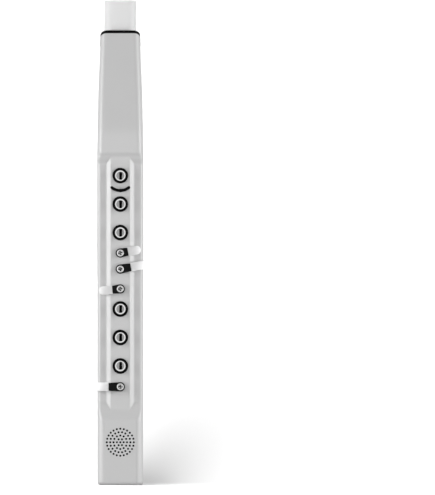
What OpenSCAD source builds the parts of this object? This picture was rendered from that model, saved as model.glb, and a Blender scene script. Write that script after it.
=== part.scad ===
// Digital wind controller: a handheld electronic wind instrument in two moulded shells.
// Millimetres. +Z runs up the body to the mouthpiece, -Y is the front with the finger keys.
// The origin is on the flat base, on the mid-plane and on the parting line of the shells.

/* [Casing] */
// Height of the casing on the parting plane, where the sloped top starts
body_top = 424.3; // [418:0.5:440]
// Slope of the top end, higher at the front
top_slope = 33; // [20:1:40]
// Wall of both shells
wall = 2.2; // [1.8:0.1:2.6]
// Width of the lower block
block_w = 43.2; // [42:0.2:46]
// Width along the upper keys
key_w = 43.8; // [42.8:0.2:46]
// Width half way up the head
head_w = 41.8; // [40.6:0.2:42.6]
// Width at the top of the head
neck_w = 37.6; // [37:0.2:40]
// Front depth of the lower block at the base
block_front_low = 22.8; // [22:0.1:24]
// Front depth of the lower block at its top
block_front = 25.4; // [24.6:0.1:27]
// Height of the lower block's front
block_top = 61; // [59:0.5:64]
// Length of the slope from the block up to the deck
step_len = 12; // [9:0.5:14]
// Front depth of the raised deck that carries the keys
deck_front = 21.75; // [21:0.05:22.6]
// Height at which the deck ends under the head
deck_end = 310.8; // [308:0.2:316]
// Length of the slope from the deck to the head
head_step = 5.6; // [4:0.2:8]
// Front depth of the head
head_front = 24.3; // [23.4:0.1:26]
// Height at which the head front starts to lean back
head_bend = 331; // [326:0.5:340]
// Front depth at the top of the head
neck_front = 7.9; // [7:0.1:9]
// Half width of the flat deck
deck_half = 8.9; // [8.4:0.1:9.4]
// Half width at the foot of the deck's sloped sides
foot_half = 13.5; // [12.6:0.1:14.5]
// Drop from the deck to the shelves beside it
shelf_drop = 3; // [2:0.1:3.4]
// Radius of the shelves' outer shoulders
shoulder_r = 3.8; // [3.2:0.1:4.4]
// Radius of the head's front corners
head_r = 6.7; // [5.5:0.1:7.5]
// Radius of the lower block's front corners
block_r = 6.2; // [5:0.1:7]
// Radius of the back corners
back_r = 7; // [6:0.1:7.4]
// Depth from the parting plane to the back
back_depth = 17.4; // [17:0.1:18.4]
// Depth from the parting plane to the lower block's back
block_back = 21; // [20.6:0.1:22]
// Height at which the lower block's back ends
back_step = 67.8; // [67:0.2:72]
// Length of the slope from the lower block's back to the back
back_step_len = 15; // [12:0.5:18]
// Height of the chamfer at the bottom of the back
chamfer_h = 12.2; // [9:0.1:12.4]
// Back depth at the base, below the chamfer
chamfer_depth = 10.7; // [9:0.1:13]
// Rounding of the bottom edge
base_r = 3; // [1:0.1:4]

/* [Speaker grille] */
// Height of the grille's centre
grille_z = 40.8; // [39:0.2:42]
// Rings of holes round the centre hole
grille_rings = 4; // [3:1:4]
// Step from ring to ring
grille_step = 3.2; // [3:0.05:3.3]
// Diameter of a grille hole
grille_hole = 1.7; // [1:0.1:1.8]

/* [Finger keys] */
// Height of the highest finger key
key_top_z = 293.6; // [292:0.2:296]
// Spacing of the finger keys in each group of three
key_pitch = 27; // [26.4:0.1:27.4]
// Height of the first key of the lower group
key_low_z = 167.1; // [165:0.2:168]
// Outer diameter of a key's black rim
rim_d = 14.9; // [14:0.1:16]
// Diameter of the domed button in the rim
dome_d = 10.5; // [9.6:0.1:11.4]
// Rise of the dome
dome_rise = 1.7; // [1:0.1:2.2]
// Diameter of a finger key's stem
stem_d = 8.4; // [7:0.1:8.6]
// Height of the rim's underside over the deck
rim_lift = 2.2; // [2:0.05:3]
// Thickness of the rim
rim_t = 1.4; // [1.2:0.1:2]
// Travel of a finger key
key_travel = 1.6; // [1:0.1:1.8]

/* [Crescent key] */
// Distance of the crescent's stem below the highest key
crescent_drop = 14.2; // [13.6:0.1:14.6]
// Radius of the crescent's centre line
crescent_r = 12.8; // [12:0.1:14.4]
// Width of the crescent's band
crescent_band = 2.8; // [2.4:0.1:3.8]
// Half of the angle that the crescent covers
crescent_angle = 39; // [30:1:44]
// Height of the crescent's top over the deck
crescent_lift = 4.4; // [4:0.1:5]
// Diameter of the crescent's stem
crescent_stem_d = 3.2; // [3:0.1:4.4]

/* [Side keys] */
// Heights of the four side keys' screws
side_z = [220.2, 205, 186.2, 93.4];
// Side that each paddle points to, 1 right and -1 left
side_dir = [1, 1, -1, -1];
// Angle at which each arm is set, lifted at its outer end
side_tilt = [10, 10, -6, 0];
// Reach of each black arm from its screw
arm_reach = [7.4, 10.2, 7.6, 11.1];
// Reach of each paddle from its screw
paddle_reach = [19.7, 27.6, 20.4, 27.3];
// Drop of each paddle's outer end
paddle_drop = [4.6, 8, 4.6, 8];
// Half of the angle that each paddle curves through
paddle_curve = 8; // [4:1:12]
// Width of a paddle across its reach
paddle_w = 8.2; // [7:0.1:8.6]
// Thickness of a paddle
paddle_t = 1.4; // [1:0.1:1.6]
// Diameter of an arm's round end
arm_d = 8.8; // [8.6:0.1:10]
// Width of an arm at its outer end
arm_w = 7.4; // [7:0.1:8.4]
// Thickness of an arm
arm_t = 3.1; // [3:0.1:3.4]
// Height of an arm's underside over the deck
arm_lift = 1.9; // [1.8:0.05:2.4]
// Diameter of a side key's post
post_d = 6; // [5.4:0.1:6.6]
// Diameter of the pin that an arm turns on
pivot_d = 4; // [3.6:0.1:4.4]
// Diameter of an arm screw's head
screw_head_d = 6.6; // [6:0.1:7]
// Travel of a side key
side_travel = 1.2; // [0.8:0.1:1.3]

/* [Back controls] */
// Height of the display's centre
display_z = 269.7; // [268:0.2:271]
// Height of the display cover
display_h = 53; // [50:0.5:54]
// Width of the display cover
display_w = 26; // [24:0.5:28]
// Thickness of the display cover
display_t = 1.8; // [1.4:0.1:2.2]
// Height of the menu knob's axis
knob_z = 309.3; // [308:0.2:312]
// Diameter of the menu knob
knob_d = 15; // [13:0.1:16]
// Thickness of the menu knob
knob_t = 6.5; // [5:0.1:7]
// Diameter of the knob's shaft
shaft_d = 6; // [5:0.1:6.4]
// Height of the power button
power_z = 325.5; // [324:0.2:330]
// Height of the upper rear button
rear_upper_z = 230.2; // [229:0.2:232]
// Height of the lower rear button
rear_lower_z = 217.2; // [216.5:0.2:219]
// Diameter of the small back buttons
button_d = 7.2; // [6.4:0.1:7.4]
// How far the small back buttons stand proud
button_proud = 0.9; // [0.6:0.05:1.2]
// Travel of the small back buttons
button_travel = 0.7; // [0.4:0.05:0.8]

/* [Strap loop and thumb hook] */
// Height of the strap loop's centre
loop_z = 194.4; // [194:0.2:196]
// Height of the strap loop's strip
loop_h = 16.3; // [14:0.1:17]
// Width of the strap loop
loop_w = 14; // [13:0.5:15]
// Distance from the parting plane to the loop's outer end
loop_reach = 44.6; // [40:0.2:48]
// Thickness of the loop's strip
loop_t = 2; // [1.6:0.1:2.2]
// Height of the thumb hook's upper root
hook_top_z = 195.4; // [194.6:0.2:197]
// Height of the thumb hook's lower root
hook_root_z = 170.4; // [169:0.2:171.4]
// Distance from the parting plane to the hook's tip
hook_reach = 44.2; // [40:0.2:47]
// Height of the hook's tip
hook_tip_z = 161; // [160:0.2:163]
// Width of the thumb hook
hook_w = 22; // [21:0.5:24]

/* [Thumb pad] */
// Height at which the pad's sloped seat meets the back
pad_z = 147.6; // [146:0.2:149]
// Depth to which the housing stands out from the back
housing_out = 10; // [9:0.1:10.4]
// Width of the pad's housing
housing_w = 20; // [18:0.5:22]
// Length of the pad down the slope
pad_len = 12.4; // [11:0.1:12.6]
// Width of the pad
pad_w = 17; // [15:0.1:17.4]
// Travel of the pad
pad_travel = 0.8; // [0.4:0.05:0.9]

/* [Mouthpiece] */
// Width of the cap
cap_w = 30.1; // [29:0.1:31]
// Depth of the cap
cap_depth = 17.2; // [16.6:0.1:18]
// Distance of the cap's centre behind the parting plane
cap_y = 7; // [6.4:0.1:7.4]
// Height of the cap's top over the casing's parting plane
cap_rise = 35.5; // [31:0.5:42]
// Wall of the cap
cap_wall = 1.5; // [1.2:0.1:1.8]
// Thickness of the black trim ring
ring_t = 2.4; // [1.6:0.1:2.8]
// How far the trim ring stands proud of the casing
ring_proud = 0.2; // [0.1:0.05:0.6]
// Height of the collar over the trim ring
collar_h = 3; // [2:0.1:4]
// How far the collar stands out past the cap
collar_out = 1.3; // [0.8:0.1:1.6]
// Height of the collar's plug in the cap
plug_h = 3; // [2:0.1:4]
// Gap between the mouthpiece's tip and the cap's inner top
tip_gap = 3.5; // [2:0.5:5]
// Width of the mouthpiece's tip
tip_w = 15; // [13:0.5:16]
// Thickness of the mouthpiece's tip
tip_t = 2.6; // [2.2:0.1:3.2]
// Bore of the air channel
air_d = 4; // [3:0.1:4.4]

/* [Inside] */
// Front face of the main board, in front of the parting plane
board_front = 6; // [5.6:0.1:6.4]
// Thickness of the main board
board_t = 1.6; // [1.2:0.1:2]
// Width of the main board
board_w = 32; // [30:0.5:33]
// Diameter of a battery cell
cell_d = 14.5; // [13.5:0.1:14.6]
// Length of a battery cell
cell_len = 50.5; // [48:0.1:50.8]
// Height of the battery cover
cover_h = 50; // [46:0.5:50.5]
// Width of the battery cover
cover_w = 30; // [28:0.5:31]
// Diameter of the speaker's frame
speaker_d = 31; // [29:0.5:32]
// Depth of the speaker
speaker_h = 11; // [9:0.5:11]
// Distance of the case screws from the mid-plane
screw_x = 12; // [11.6:0.1:12.4]
// Heights of the three pairs of case screws
screw_z = [92, 209, 346];
// Diameter of the headphone socket's bore
jack_bore = 3.6; // [3.5:0.05:3.8]
// Diameter of the headphone socket's barrel
jack_d = 8; // [7:0.1:9]
// Depth of the headphone socket's bore
jack_depth = 13; // [12:0.5:15]
// Distance of both sockets from the mid-plane
port_x = 8; // [7:0.5:9]

/* [Fits] */
// Radial clearance of a stem, pin or shaft in its bore
run_fit = 0.06; // [0.03:0.01:0.09]
// Gap between faces that seat on each other
seat_gap = 0.05; // [0.03:0.01:0.1]
// Radial clearance where a piece only passes through the casing
pass_gap = 0.3; // [0.2:0.05:0.4]

/* [Hidden] */
KEYS = 6;
SIDES = 4;
side_name = ["a", "b", "c", "d"];

$fn = 64;
light_grey = [0.78, 0.78, 0.77];
dark = [0.06, 0.06, 0.065];
silver = [0.82, 0.83, 0.85];

deck_start = block_top + step_len;
head_start = deck_end + head_step;
shelf_run = 7;
head_mid = head_start + 50;
head_soft = 5;
width_low = 185;
width_high = 222;
above = 22;
crescent_z = key_top_z - crescent_drop;
cap_top = body_top + cap_rise;
tip_z = cap_top - cap_wall - tip_gap;
arc_steps = 5;
key_z = [for (i = [0:KEYS - 1])
    i < 3 ? key_top_z - i * key_pitch : key_low_z - (i - 3) * key_pitch];

// Smooth 0 to 1 between two heights
function ramp(z, a, b) = let (t = min(1, max(0, (z - a) / (b - a)))) t * t * (3 - 2 * t);
// A line that starts level and then rises one for one
function lean(t) = t <= 0 ? 0 : t < 2 * head_soft ? t * t / (4 * head_soft) : t - head_soft;
// Inset of the rounded bottom edge
function base_in(z) = z >= base_r ? 0 : base_r - sqrt(pow(base_r, 2) - pow(base_r - z, 2));

function half_w(z) = (block_w + (key_w - block_w) * ramp(z, width_low, width_high)
    - lookup(z, [[deck_end, 0], [head_mid, key_w - head_w], [body_top, key_w - neck_w],
        [body_top + above, key_w - neck_w + 2]])) / 2 - base_in(z);
function front(z) = lookup(z, [[0, block_front_low], [block_top, block_front]])
    + (deck_front - block_front) * ramp(z, block_top, deck_start)
    + (head_front - deck_front) * ramp(z, deck_end, head_start)
    - (head_front - neck_front) / lean(body_top - head_bend) * lean(z - head_bend)
    - base_in(z);
function back(z) = lookup(z, [[0, chamfer_depth], [chamfer_h, block_back]])
    + (back_depth - block_back) * ramp(z, back_step, back_step + back_step_len)
    - 0.6 * base_in(z);
function drop(z) = shelf_drop * (ramp(z, deck_start - 3, deck_start + shelf_run)
    - ramp(z, deck_end - shelf_run, deck_end + 1));
// The deck's side slopes keep their angle while the shelves rise to meet the deck
function foot_at(z) = deck_half + (foot_half - deck_half) * max(0.15, drop(z) / shelf_drop);
function corner(z) = block_r + (shoulder_r - block_r) * ramp(z, block_top, deck_start)
    + (head_r - shoulder_r) * ramp(z, deck_end - 2, head_start);

// Half outline of the front at a height, inset by e, from the parting plane to the middle
function front_half(z, e, seam) = let (
    w = half_w(z) - e, low = front(z) - drop(z) - e,
    r = max(min(corner(z) - e, low - 0.5), 0.8),
    foot = min(foot_at(z) - 0.55 * e, w - r - 0.4))
    concat([[w, seam]],
        [for (i = [0:arc_steps]) let (a = 90 * i / arc_steps)
            [w - r + r * cos(a), -(low - r + r * sin(a))]],
        [[foot, -low], [min(deck_half - 0.55 * e, foot - 0.5), -(front(z) - e)]]);
function back_half(z, e, seam) = let (
    w = half_w(z) - e, r = max(min(back_r, back(z) - 1) - e, 0.8), d = back(z) - e)
    concat([[w, -seam]],
        [for (i = [0:arc_steps]) let (a = 90 * i / arc_steps)
            [w - r + r * cos(a), d - r + r * sin(a)]]);
function mirrored(half) = [for (i = [len(half) - 1:-1:0]) [-half[i][0], half[i][1]]];
function front_outline(z, e, seam) =
    let (h = front_half(z, e, seam)) concat(h, mirrored(h));
function back_outline(z, e, seam) =
    let (h = back_half(z, e, seam), m = mirrored(h)) [for (p = concat(h, m)) p];
function flip(list) = [for (i = [len(list) - 1:-1:0]) list[i]];

function sorted(v) = len(v) < 2 ? v : concat(
    sorted([for (x = v) if (x < v[0] - 0.05) x]), [v[0]],
    sorted([for (x = v) if (x > v[0] + 0.05) x]));
outer_levels = sorted(concat(
    [0, base_r * 0.13, base_r * 0.5, base_r, chamfer_h, block_top / 2 + 4],
    [for (i = [0:4]) block_top + i * step_len / 4],
    [deck_start + shelf_run / 2, deck_start + shelf_run],
    [back_step, back_step + back_step_len / 2, back_step + back_step_len],
    [width_low, (width_low + width_high) / 2, width_high],
    [for (i = [0:3]) deck_end - shelf_run + i * shelf_run / 3],
    [for (i = [1:3]) deck_end + i * head_step / 3],
    [head_bend, head_bend + head_soft, head_bend + 2 * head_soft, head_mid],
    [body_top - 16, body_top + above]));
inner_levels = sorted(concat(
    [wall, chamfer_h, block_top, deck_start - step_len / 2, deck_start],
    [deck_start + shelf_run, back_step, back_step + back_step_len / 2],
    [back_step + back_step_len, width_low, width_high],
    [deck_end - shelf_run, deck_end, head_start, head_bend, head_bend + 2 * head_soft],
    [head_mid, body_top - 16, body_top + above + 1]));

// A solid through outlines at rising heights, each outline clockwise from above
module loft(outlines, levels) {
    n = len(outlines[0]);
    m = len(levels);
    polyhedron(
        points = [for (i = [0:m - 1]) for (p = outlines[i]) [p[0], p[1], levels[i]]],
        faces = concat(
            [[for (j = [n - 1:-1:0]) j], [for (j = [0:n - 1]) (m - 1) * n + j]],
            [for (i = [0:m - 2]) for (j = [0:n - 1])
                [i * n + j, i * n + (j + 1) % n, (i + 1) * n + (j + 1) % n]],
            [for (i = [0:m - 2]) for (j = [0:n - 1])
                [i * n + j, (i + 1) * n + (j + 1) % n, (i + 1) * n + j]]));
}

module front_loft(e, levels, seam = 0) {
    loft([for (z = levels) front_outline(z, e, seam)], levels);
}

module back_loft(e, levels, seam = 0) {
    loft([for (z = levels) flip(back_outline(z, e, seam))], levels);
}

// All that lies above the sloped top, lifted by h along the slope's normal
module over_top(h = 0) {
    translate([0, 0, body_top])
        rotate([-top_slope, 0, 0])
            translate([-50, -60, h])
                cube([100, 120, 90]);
}

// Between two planes parallel to the sloped top
module top_slab(low, high) {
    translate([0, 0, body_top])
        rotate([-top_slope, 0, 0])
            translate([-50, -60, low])
                cube([100, 120, high - low]);
}

// Child frames: z away from the deck or from the back, origin on the surface
module on_deck(z) {
    translate([0, -deck_front, z])
        rotate([90, 0, 0])
            children();
}

module on_back(z) {
    translate([0, back_depth, z])
        rotate([-90, 0, 0])
            children();
}

module pill(w, d) {
    union() {
        square([w - d, d], center = true);
        for (s = [-1, 1])
            translate([s * (w - d) / 2, 0])
                circle(d = d);
    }
}

// Bosses that clamp the main board between the shells
boss_r = 3.2;
screw_r = 1.1;
head_r2 = 2.4;
head_h2 = 1.8;
sink_depth = 4;
screw_len = 27;
boss_back_y = -board_front + board_t;
deck_inner = deck_front - wall;
back_inner = back_depth - wall;

module at_screws() {
    for (z = screw_z)
        for (s = [-1, 1])
            translate([s * screw_x, 0, z])
                rotate([-90, 0, 0])
                    children();
}

module grille_holes() {
    for (ring = [0:grille_rings])
        for (k = [0:max(0, 6 * ring - 1)])
            let (n = max(1, 6 * ring), a = 360 * k / n + (ring % 2 == 1 ? 180 / n : 0))
                translate([ring * grille_step * sin(a), 0, grille_z + ring * grille_step * cos(a)])
                    rotate([90, 0, 0])
                        translate([0, 0, block_front_low - wall - 3])
                            cylinder(d = grille_hole, h = block_front + wall + 5 - block_front_low,
                                $fn = 16);
}

usb_w = 9.4;
usb_h = 3.6;
port_y = -6;

module front_shell() {
    color(light_grey)
        difference() {
            union() {
                difference() {
                    front_loft(0, outer_levels);
                    front_loft(wall, inner_levels, 1);
                }
                // Bosses behind the shelves, and behind the flat head
                for (z = screw_z)
                    for (s = [-1, 1])
                        translate([s * screw_x, -board_front, z])
                            rotate([90, 0, 0])
                                cylinder(r = boss_r, h = front(z) - drop(z) - wall / 2 - board_front);
            }
            over_top();
            for (z = key_z)
                on_deck(z)
                    translate([0, 0, -wall - 2])
                        cylinder(r = stem_d / 2 + pass_gap, h = wall + 4);
            for (z = side_z)
                on_deck(z)
                    translate([0, 0, -wall - 2])
                        cylinder(r = post_d / 2 + pass_gap, h = wall + 4);
            on_deck(crescent_z)
                translate([0, 0, -wall - 2])
                    cylinder(r = crescent_stem_d / 2 + pass_gap, h = wall + 4);
            grille_holes();
            at_screws()
                translate([0, 0, -board_front - screw_len / 3])
                    cylinder(r = screw_r + run_fit, h = screw_len / 3 + 1);
            translate([port_x, port_y, -1])
                cylinder(d = jack_d + 2 * pass_gap, h = wall + 2);
            translate([-port_x - usb_w / 2 - pass_gap, port_y - usb_h / 2 - pass_gap, -1])
                cube([usb_w + 2 * pass_gap, usb_h + 2 * pass_gap, wall + 2]);
        }
}

// Openings in the back shell
cover_gap = 0.3;
cover_low = back_step - 2.8 - cover_h;
window_in = 4;
// Finger groove and scoop above the lower block's back, and round recesses at its bottom corners
groove_z = 82.5;
groove_r = 2.4;
groove_deep = 1;
scoop_w = 12;
scoop_top = 89;
dimple_z = 14.8;
dimple_r = 2.5;
dimple_deep = 1.2;
module finger_groove() {
    translate([0, back_depth - groove_deep + groove_r, groove_z])
        rotate([0, 90, 0])
            cylinder(r = groove_r, h = 2 * key_w, center = true);
    rotate([90, 0, 90])
        linear_extrude(scoop_w, center = true)
            polygon([[back_depth - groove_deep, groove_z], [back_depth + 2, groove_z],
                [back_depth + 2, scoop_top], [back_depth, scoop_top],
                [back_depth - groove_deep, groove_z + groove_r]]);
}

module corner_dimples() {
    for (s = [-1, 1])
        translate([s * (block_w / 2 - back_r), block_back - back_r, dimple_z])
            rotate([0, 0, 90 - 45 * s])
                rotate([0, 90, 0])
                    translate([0, 0, back_r - dimple_deep])
                        cylinder(r = dimple_r, h = 2 * dimple_deep + 1);
}

module back_shell() {
    color(light_grey)
        difference() {
            union() {
                difference() {
                    back_loft(0, outer_levels);
                    back_loft(wall, inner_levels, 1);
                }
                at_screws()
                    translate([0, 0, boss_back_y])
                        cylinder(r = boss_r, h = back_inner + wall / 2 - boss_back_y);
            }
            over_top();
            at_screws()
                translate([0, 0, boss_back_y - 1])
                    cylinder(r = screw_r + pass_gap, h = back_depth + 4);
            at_screws()
                translate([0, 0, back_depth - sink_depth])
                    cylinder(r = head_r2 + pass_gap, h = sink_depth + 2);
            translate([-cover_w / 2 - cover_gap, block_back - wall - 2, cover_low - cover_gap])
                cube([cover_w + 2 * cover_gap, wall + 4, cover_h + 2 * cover_gap]);
            translate([-display_w / 2 + window_in, back_inner - 2, display_z - display_h / 2 + window_in])
                cube([display_w - 2 * window_in, wall + 4, display_h - 2 * window_in]);
            for (z = [power_z, rear_upper_z, rear_lower_z])
                on_back(z)
                    translate([0, 0, -wall - 2])
                        cylinder(r = button_d / 2 + run_fit, h = wall + 4);
            on_back(knob_z)
                translate([0, 0, -wall - 2])
                    cylinder(r = shaft_d / 2 + pass_gap, h = wall + 4);
            // Slots for the strap loop's two legs
            for (s = [-1, 1])
                translate([s * (loop_w - loop_t) / 2 - loop_t / 2 - seat_gap, back_inner - 2,
                        loop_z - loop_h / 2 - seat_gap])
                    cube([loop_t + 2 * seat_gap, wall + 4, loop_h + 2 * seat_gap]);
            finger_groove();
            corner_dimples();
        }
}

// Mouthpiece end
collar_w = cap_w + 2 * collar_out;
collar_depth = cap_depth + 2 * collar_out;
tail_w = 20;
tail_depth = 11;
tail_len = 18;
slope_len = 1 / cos(top_slope);
module trim_ring() {
    levels = [body_top - 16, body_top + above];
    color(dark)
        difference() {
            intersection() {
                union() {
                    front_loft(-ring_proud, levels);
                    back_loft(-ring_proud, levels);
                }
                top_slab(0, ring_t);
            }
            translate([0, cap_y, body_top - 30])
                linear_extrude(60)
                    pill(tail_w + 2 * seat_gap, tail_depth + 2 * seat_gap);
        }
}

module mouthpiece_collar() {
    color(light_grey)
        difference() {
            union() {
                intersection() {
                    translate([0, cap_y, body_top - 30])
                        linear_extrude(60)
                            pill(collar_w, collar_depth);
                    top_slab(ring_t, ring_t + collar_h);
                }
                intersection() {
                    translate([0, cap_y, body_top - 30])
                        linear_extrude(60)
                            pill(cap_w - 2 * (cap_wall + run_fit), cap_depth - 2 * (cap_wall + run_fit));
                    top_slab(ring_t + 0.5, ring_t + collar_h + plug_h);
                }
                difference() {
                    translate([0, cap_y, body_top - cap_y * tan(top_slope) - tail_len])
                        linear_extrude(tail_len)
                            pill(tail_w, tail_depth);
                    over_top(ring_t + 1);
                }
            }
            translate([0, cap_y, body_top - 60])
                cylinder(d = air_d, h = 90);
            // Socket for the mouthpiece's foot
            translate([0, cap_y, foot_z])
                cylinder(r = foot_r + run_fit, h = 40);
            // Socket for the breath tube
            translate([0, cap_y, body_top - cap_y * tan(top_slope) - tail_len - 1])
                cylinder(r = tube_r + seat_gap, h = 1 + tube_in);
        }
}

foot_r = 5;
foot_z = body_top - cap_y * tan(top_slope) + 1;
beak_w = 19;
beak_depth = 11;
beak_z = body_top - (cap_y - beak_depth / 2) * tan(top_slope)
    + (ring_t + collar_h + plug_h) * slope_len + 0.5;
tip_y = beak_depth / 2;
tip_round = 4;
beak_foot = 6;
slot_foot = 5;
module mouthpiece() {
    color([0.9, 0.9, 0.89])
        difference() {
            union() {
                translate([0, cap_y, foot_z + seat_gap])
                    cylinder(r = foot_r, h = beak_z - foot_z);
                intersection() {
                    // Side form: flat reed side at the back, sloped beak at the front
                    translate([0, cap_y, 0])
                        rotate([90, 0, 90])
                            linear_extrude(beak_w + 4, center = true)
                                polygon([[-beak_depth / 2, beak_z], [beak_depth / 2, beak_z],
                                    [tip_y, tip_z], [tip_y - tip_t, tip_z],
                                    [-beak_depth / 2, beak_z + beak_foot]]);
                    // Front form: narrower at the tip, with rounded tip corners
                    translate([0, cap_y + 15, 0])
                        rotate([90, 0, 0])
                            linear_extrude(30)
                                union() {
                                    polygon([[-beak_w / 2, beak_z], [beak_w / 2, beak_z],
                                        [tip_w / 2, tip_z - tip_round], [-tip_w / 2, tip_z - tip_round]]);
                                    translate([0, tip_z - tip_round])
                                        intersection() {
                                            circle(r = tip_w / 2);
                                            translate([-tip_w, 0])
                                                square([2 * tip_w, tip_round]);
                                        }
                                }
                }
            }
            translate([0, cap_y, foot_z - 5])
                cylinder(d = air_d, h = beak_z - foot_z + 5 + slot_foot + 2);
            // Blow slot from the tip down to the air channel
            translate([0, cap_y + tip_y - tip_t / 2, beak_z + slot_foot])
                linear_extrude(tip_z - beak_z)
                    square([tip_w * 0.62, tip_t * 0.36], center = true);
            translate([-air_d / 2, cap_y - air_d / 2, beak_z + slot_foot])
                cube([air_d, tip_y - tip_t / 2 + air_d / 2, 2]);
        }
}

module cap_form(w, d, top, r) {
    intersection() {
        translate([0, cap_y, body_top - 40])
            linear_extrude(top - body_top + 40)
                pill(w, d);
        translate([0, cap_y + 30, 0])
            rotate([90, 0, 0])
                linear_extrude(60)
                    round_top(w, top, r);
        translate([-30, cap_y, 0])
            rotate([90, 0, 90])
                linear_extrude(60)
                    round_top(d, top, r);
    }
}

module round_top(w, top, r) {
    union() {
        translate([-w / 2 - 1, body_top - 45])
            square([w + 2, top - r - body_top + 45]);
        translate([-w / 2 + r, top - r - 1])
            square([w - 2 * r, r + 1]);
        for (s = [-1, 1])
            translate([s * (w / 2 - r), top - r])
                circle(r = r);
    }
}

cap_r = 2.4;
module mouthpiece_cap() {
    color([0.9, 0.91, 0.92, 0.7])
        difference() {
            cap_form(cap_w, cap_depth, cap_top, cap_r);
            cap_form(cap_w - 2 * cap_wall, cap_depth - 2 * cap_wall, cap_top - cap_wall, cap_r - cap_wall);
            top_slab(ring_t + collar_h + seat_gap - 90, ring_t + collar_h + seat_gap);
        }
}

tube_r = 3.2;
tube_in = 6;
sensor_z = 366;
sensor_h = 12;
nipple_r = 1.9;
nipple_len = 8;
tube_low = sensor_z + sensor_h / 2 + seat_gap;
tube_high = body_top - cap_y * tan(top_slope) - tail_len + tube_in - seat_gap;
module breath_tube() {
    color([0.85, 0.85, 0.82])
        translate([0, cap_y, tube_low])
            difference() {
                cylinder(r = tube_r, h = tube_high - tube_low);
                translate([0, 0, -1])
                    cylinder(r = nipple_r + seat_gap, h = tube_high - tube_low + 2);
            }
}

module pressure_sensor() {
    sensor_d = cap_y + 4 + board_front - board_t;
    color(dark)
        union() {
            translate([-5, boss_back_y, sensor_z - sensor_h / 2])
                cube([10, sensor_d, sensor_h]);
            translate([0, cap_y, sensor_z + sensor_h / 2])
                cylinder(r = nipple_r, h = nipple_len);
        }
}

board_low = 86;
board_high = 380;
module main_board() {
    color([0.1, 0.35, 0.2])
        difference() {
            translate([-board_w / 2, -board_front, board_low])
                cube([board_w, board_t, board_high - board_low]);
            at_screws()
                translate([0, 0, -board_front - 1])
                    cylinder(r = screw_r + pass_gap, h = board_t + 2);
        }
}

// Keys: guides, stems and the switches under them
guide_len = 5;
guide_wall = 1.4;
flange_t = 1.2;
chassis_t = 2;
chassis_w = 14;
stem_low = wall + seat_gap + chassis_t + guide_len + seat_gap;
switch_gap = 0.1;
switch_w = 5;

module key_switch(low_h) {
    // Stands on the board's front, under a stem whose end comes down to low_h at full press
    translate([-switch_w / 2, -board_front - (deck_front - board_front - low_h - switch_gap), -switch_w / 2])
        cube([switch_w, deck_front - board_front - low_h - switch_gap, switch_w]);
}

module key_switches() {
    finger_low = stem_low + flange_t + key_travel;
    side_low = stem_low + flange_t + side_travel;
    color([0.2, 0.2, 0.22])
        union() {
            for (z = key_z)
                translate([0, 0, z])
                    key_switch(finger_low);
            for (z = concat(side_z, [crescent_z]))
                translate([0, 0, z])
                    key_switch(side_low);
            for (z = [power_z, rear_upper_z, rear_lower_z])
                translate([-switch_w / 2, boss_back_y, z - switch_w / 2])
                    cube([switch_w, switch_back_h, switch_w]);
        }
}

switch_back_h = 3;
module guide(d) {
    translate([0, 0, -wall - seat_gap - chassis_t - guide_len])
        cylinder(r = d / 2 + run_fit + guide_wall, h = guide_len + 0.5);
}

module guide_bore(d) {
    translate([0, 0, -stem_low - 1])
        cylinder(r = d / 2 + run_fit, h = stem_low + 2);
}

chassis_low = 84;
module key_chassis() {
    color([0.25, 0.25, 0.27])
        difference() {
            union() {
                translate([-chassis_w / 2, -deck_inner + seat_gap, chassis_low])
                    cube([chassis_w, chassis_t, deck_end - 6 - chassis_low]);
                for (z = key_z)
                    on_deck(z)
                        guide(stem_d);
                for (z = side_z)
                    on_deck(z)
                        guide(post_d);
                on_deck(crescent_z)
                    guide(crescent_stem_d);
            }
            for (z = key_z)
                on_deck(z)
                    guide_bore(stem_d);
            for (z = side_z)
                on_deck(z)
                    guide_bore(post_d);
            on_deck(crescent_z)
                guide_bore(crescent_stem_d);
        }
}

// A guided stem with a clip flange below its guide, drawn from the deck
module stem(d, top) {
    translate([0, 0, -stem_low - flange_t])
        cylinder(d = d, h = stem_low + flange_t + top);
    translate([0, 0, -stem_low - flange_t])
        cylinder(r = d / 2 + guide_wall * 0.7, h = flange_t);
}

rim_edge = 0.5;
dome_seat = 0.7;
module finger_key(i) {
    color(dark)
        on_deck(key_z[i])
            difference() {
                union() {
                    stem(stem_d, rim_lift + 0.5);
                    rotate_extrude()
                        polygon([[0, rim_lift], [rim_d / 2 - rim_edge, rim_lift],
                            [rim_d / 2, rim_lift + rim_edge], [rim_d / 2, rim_lift + rim_t - rim_edge],
                            [rim_d / 2 - rim_edge, rim_lift + rim_t], [0, rim_lift + rim_t]]);
                }
                translate([0, 0, rim_lift + rim_t - dome_seat])
                    cylinder(d = dome_d + 2 * seat_gap, h = 3);
            }
}

module key_dome(i) {
    ball_r = (pow(dome_d / 2, 2) + pow(dome_rise, 2)) / (2 * dome_rise);
    low = rim_lift + rim_t - dome_seat;
    color(silver)
        on_deck(key_z[i])
            intersection() {
                translate([0, 0, low])
                    cylinder(d = dome_d, h = dome_seat + dome_rise + 1);
                translate([0, 0, low + dome_seat + dome_rise - ball_r])
                    sphere(r = ball_r, $fn = 96);
            }
}

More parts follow.
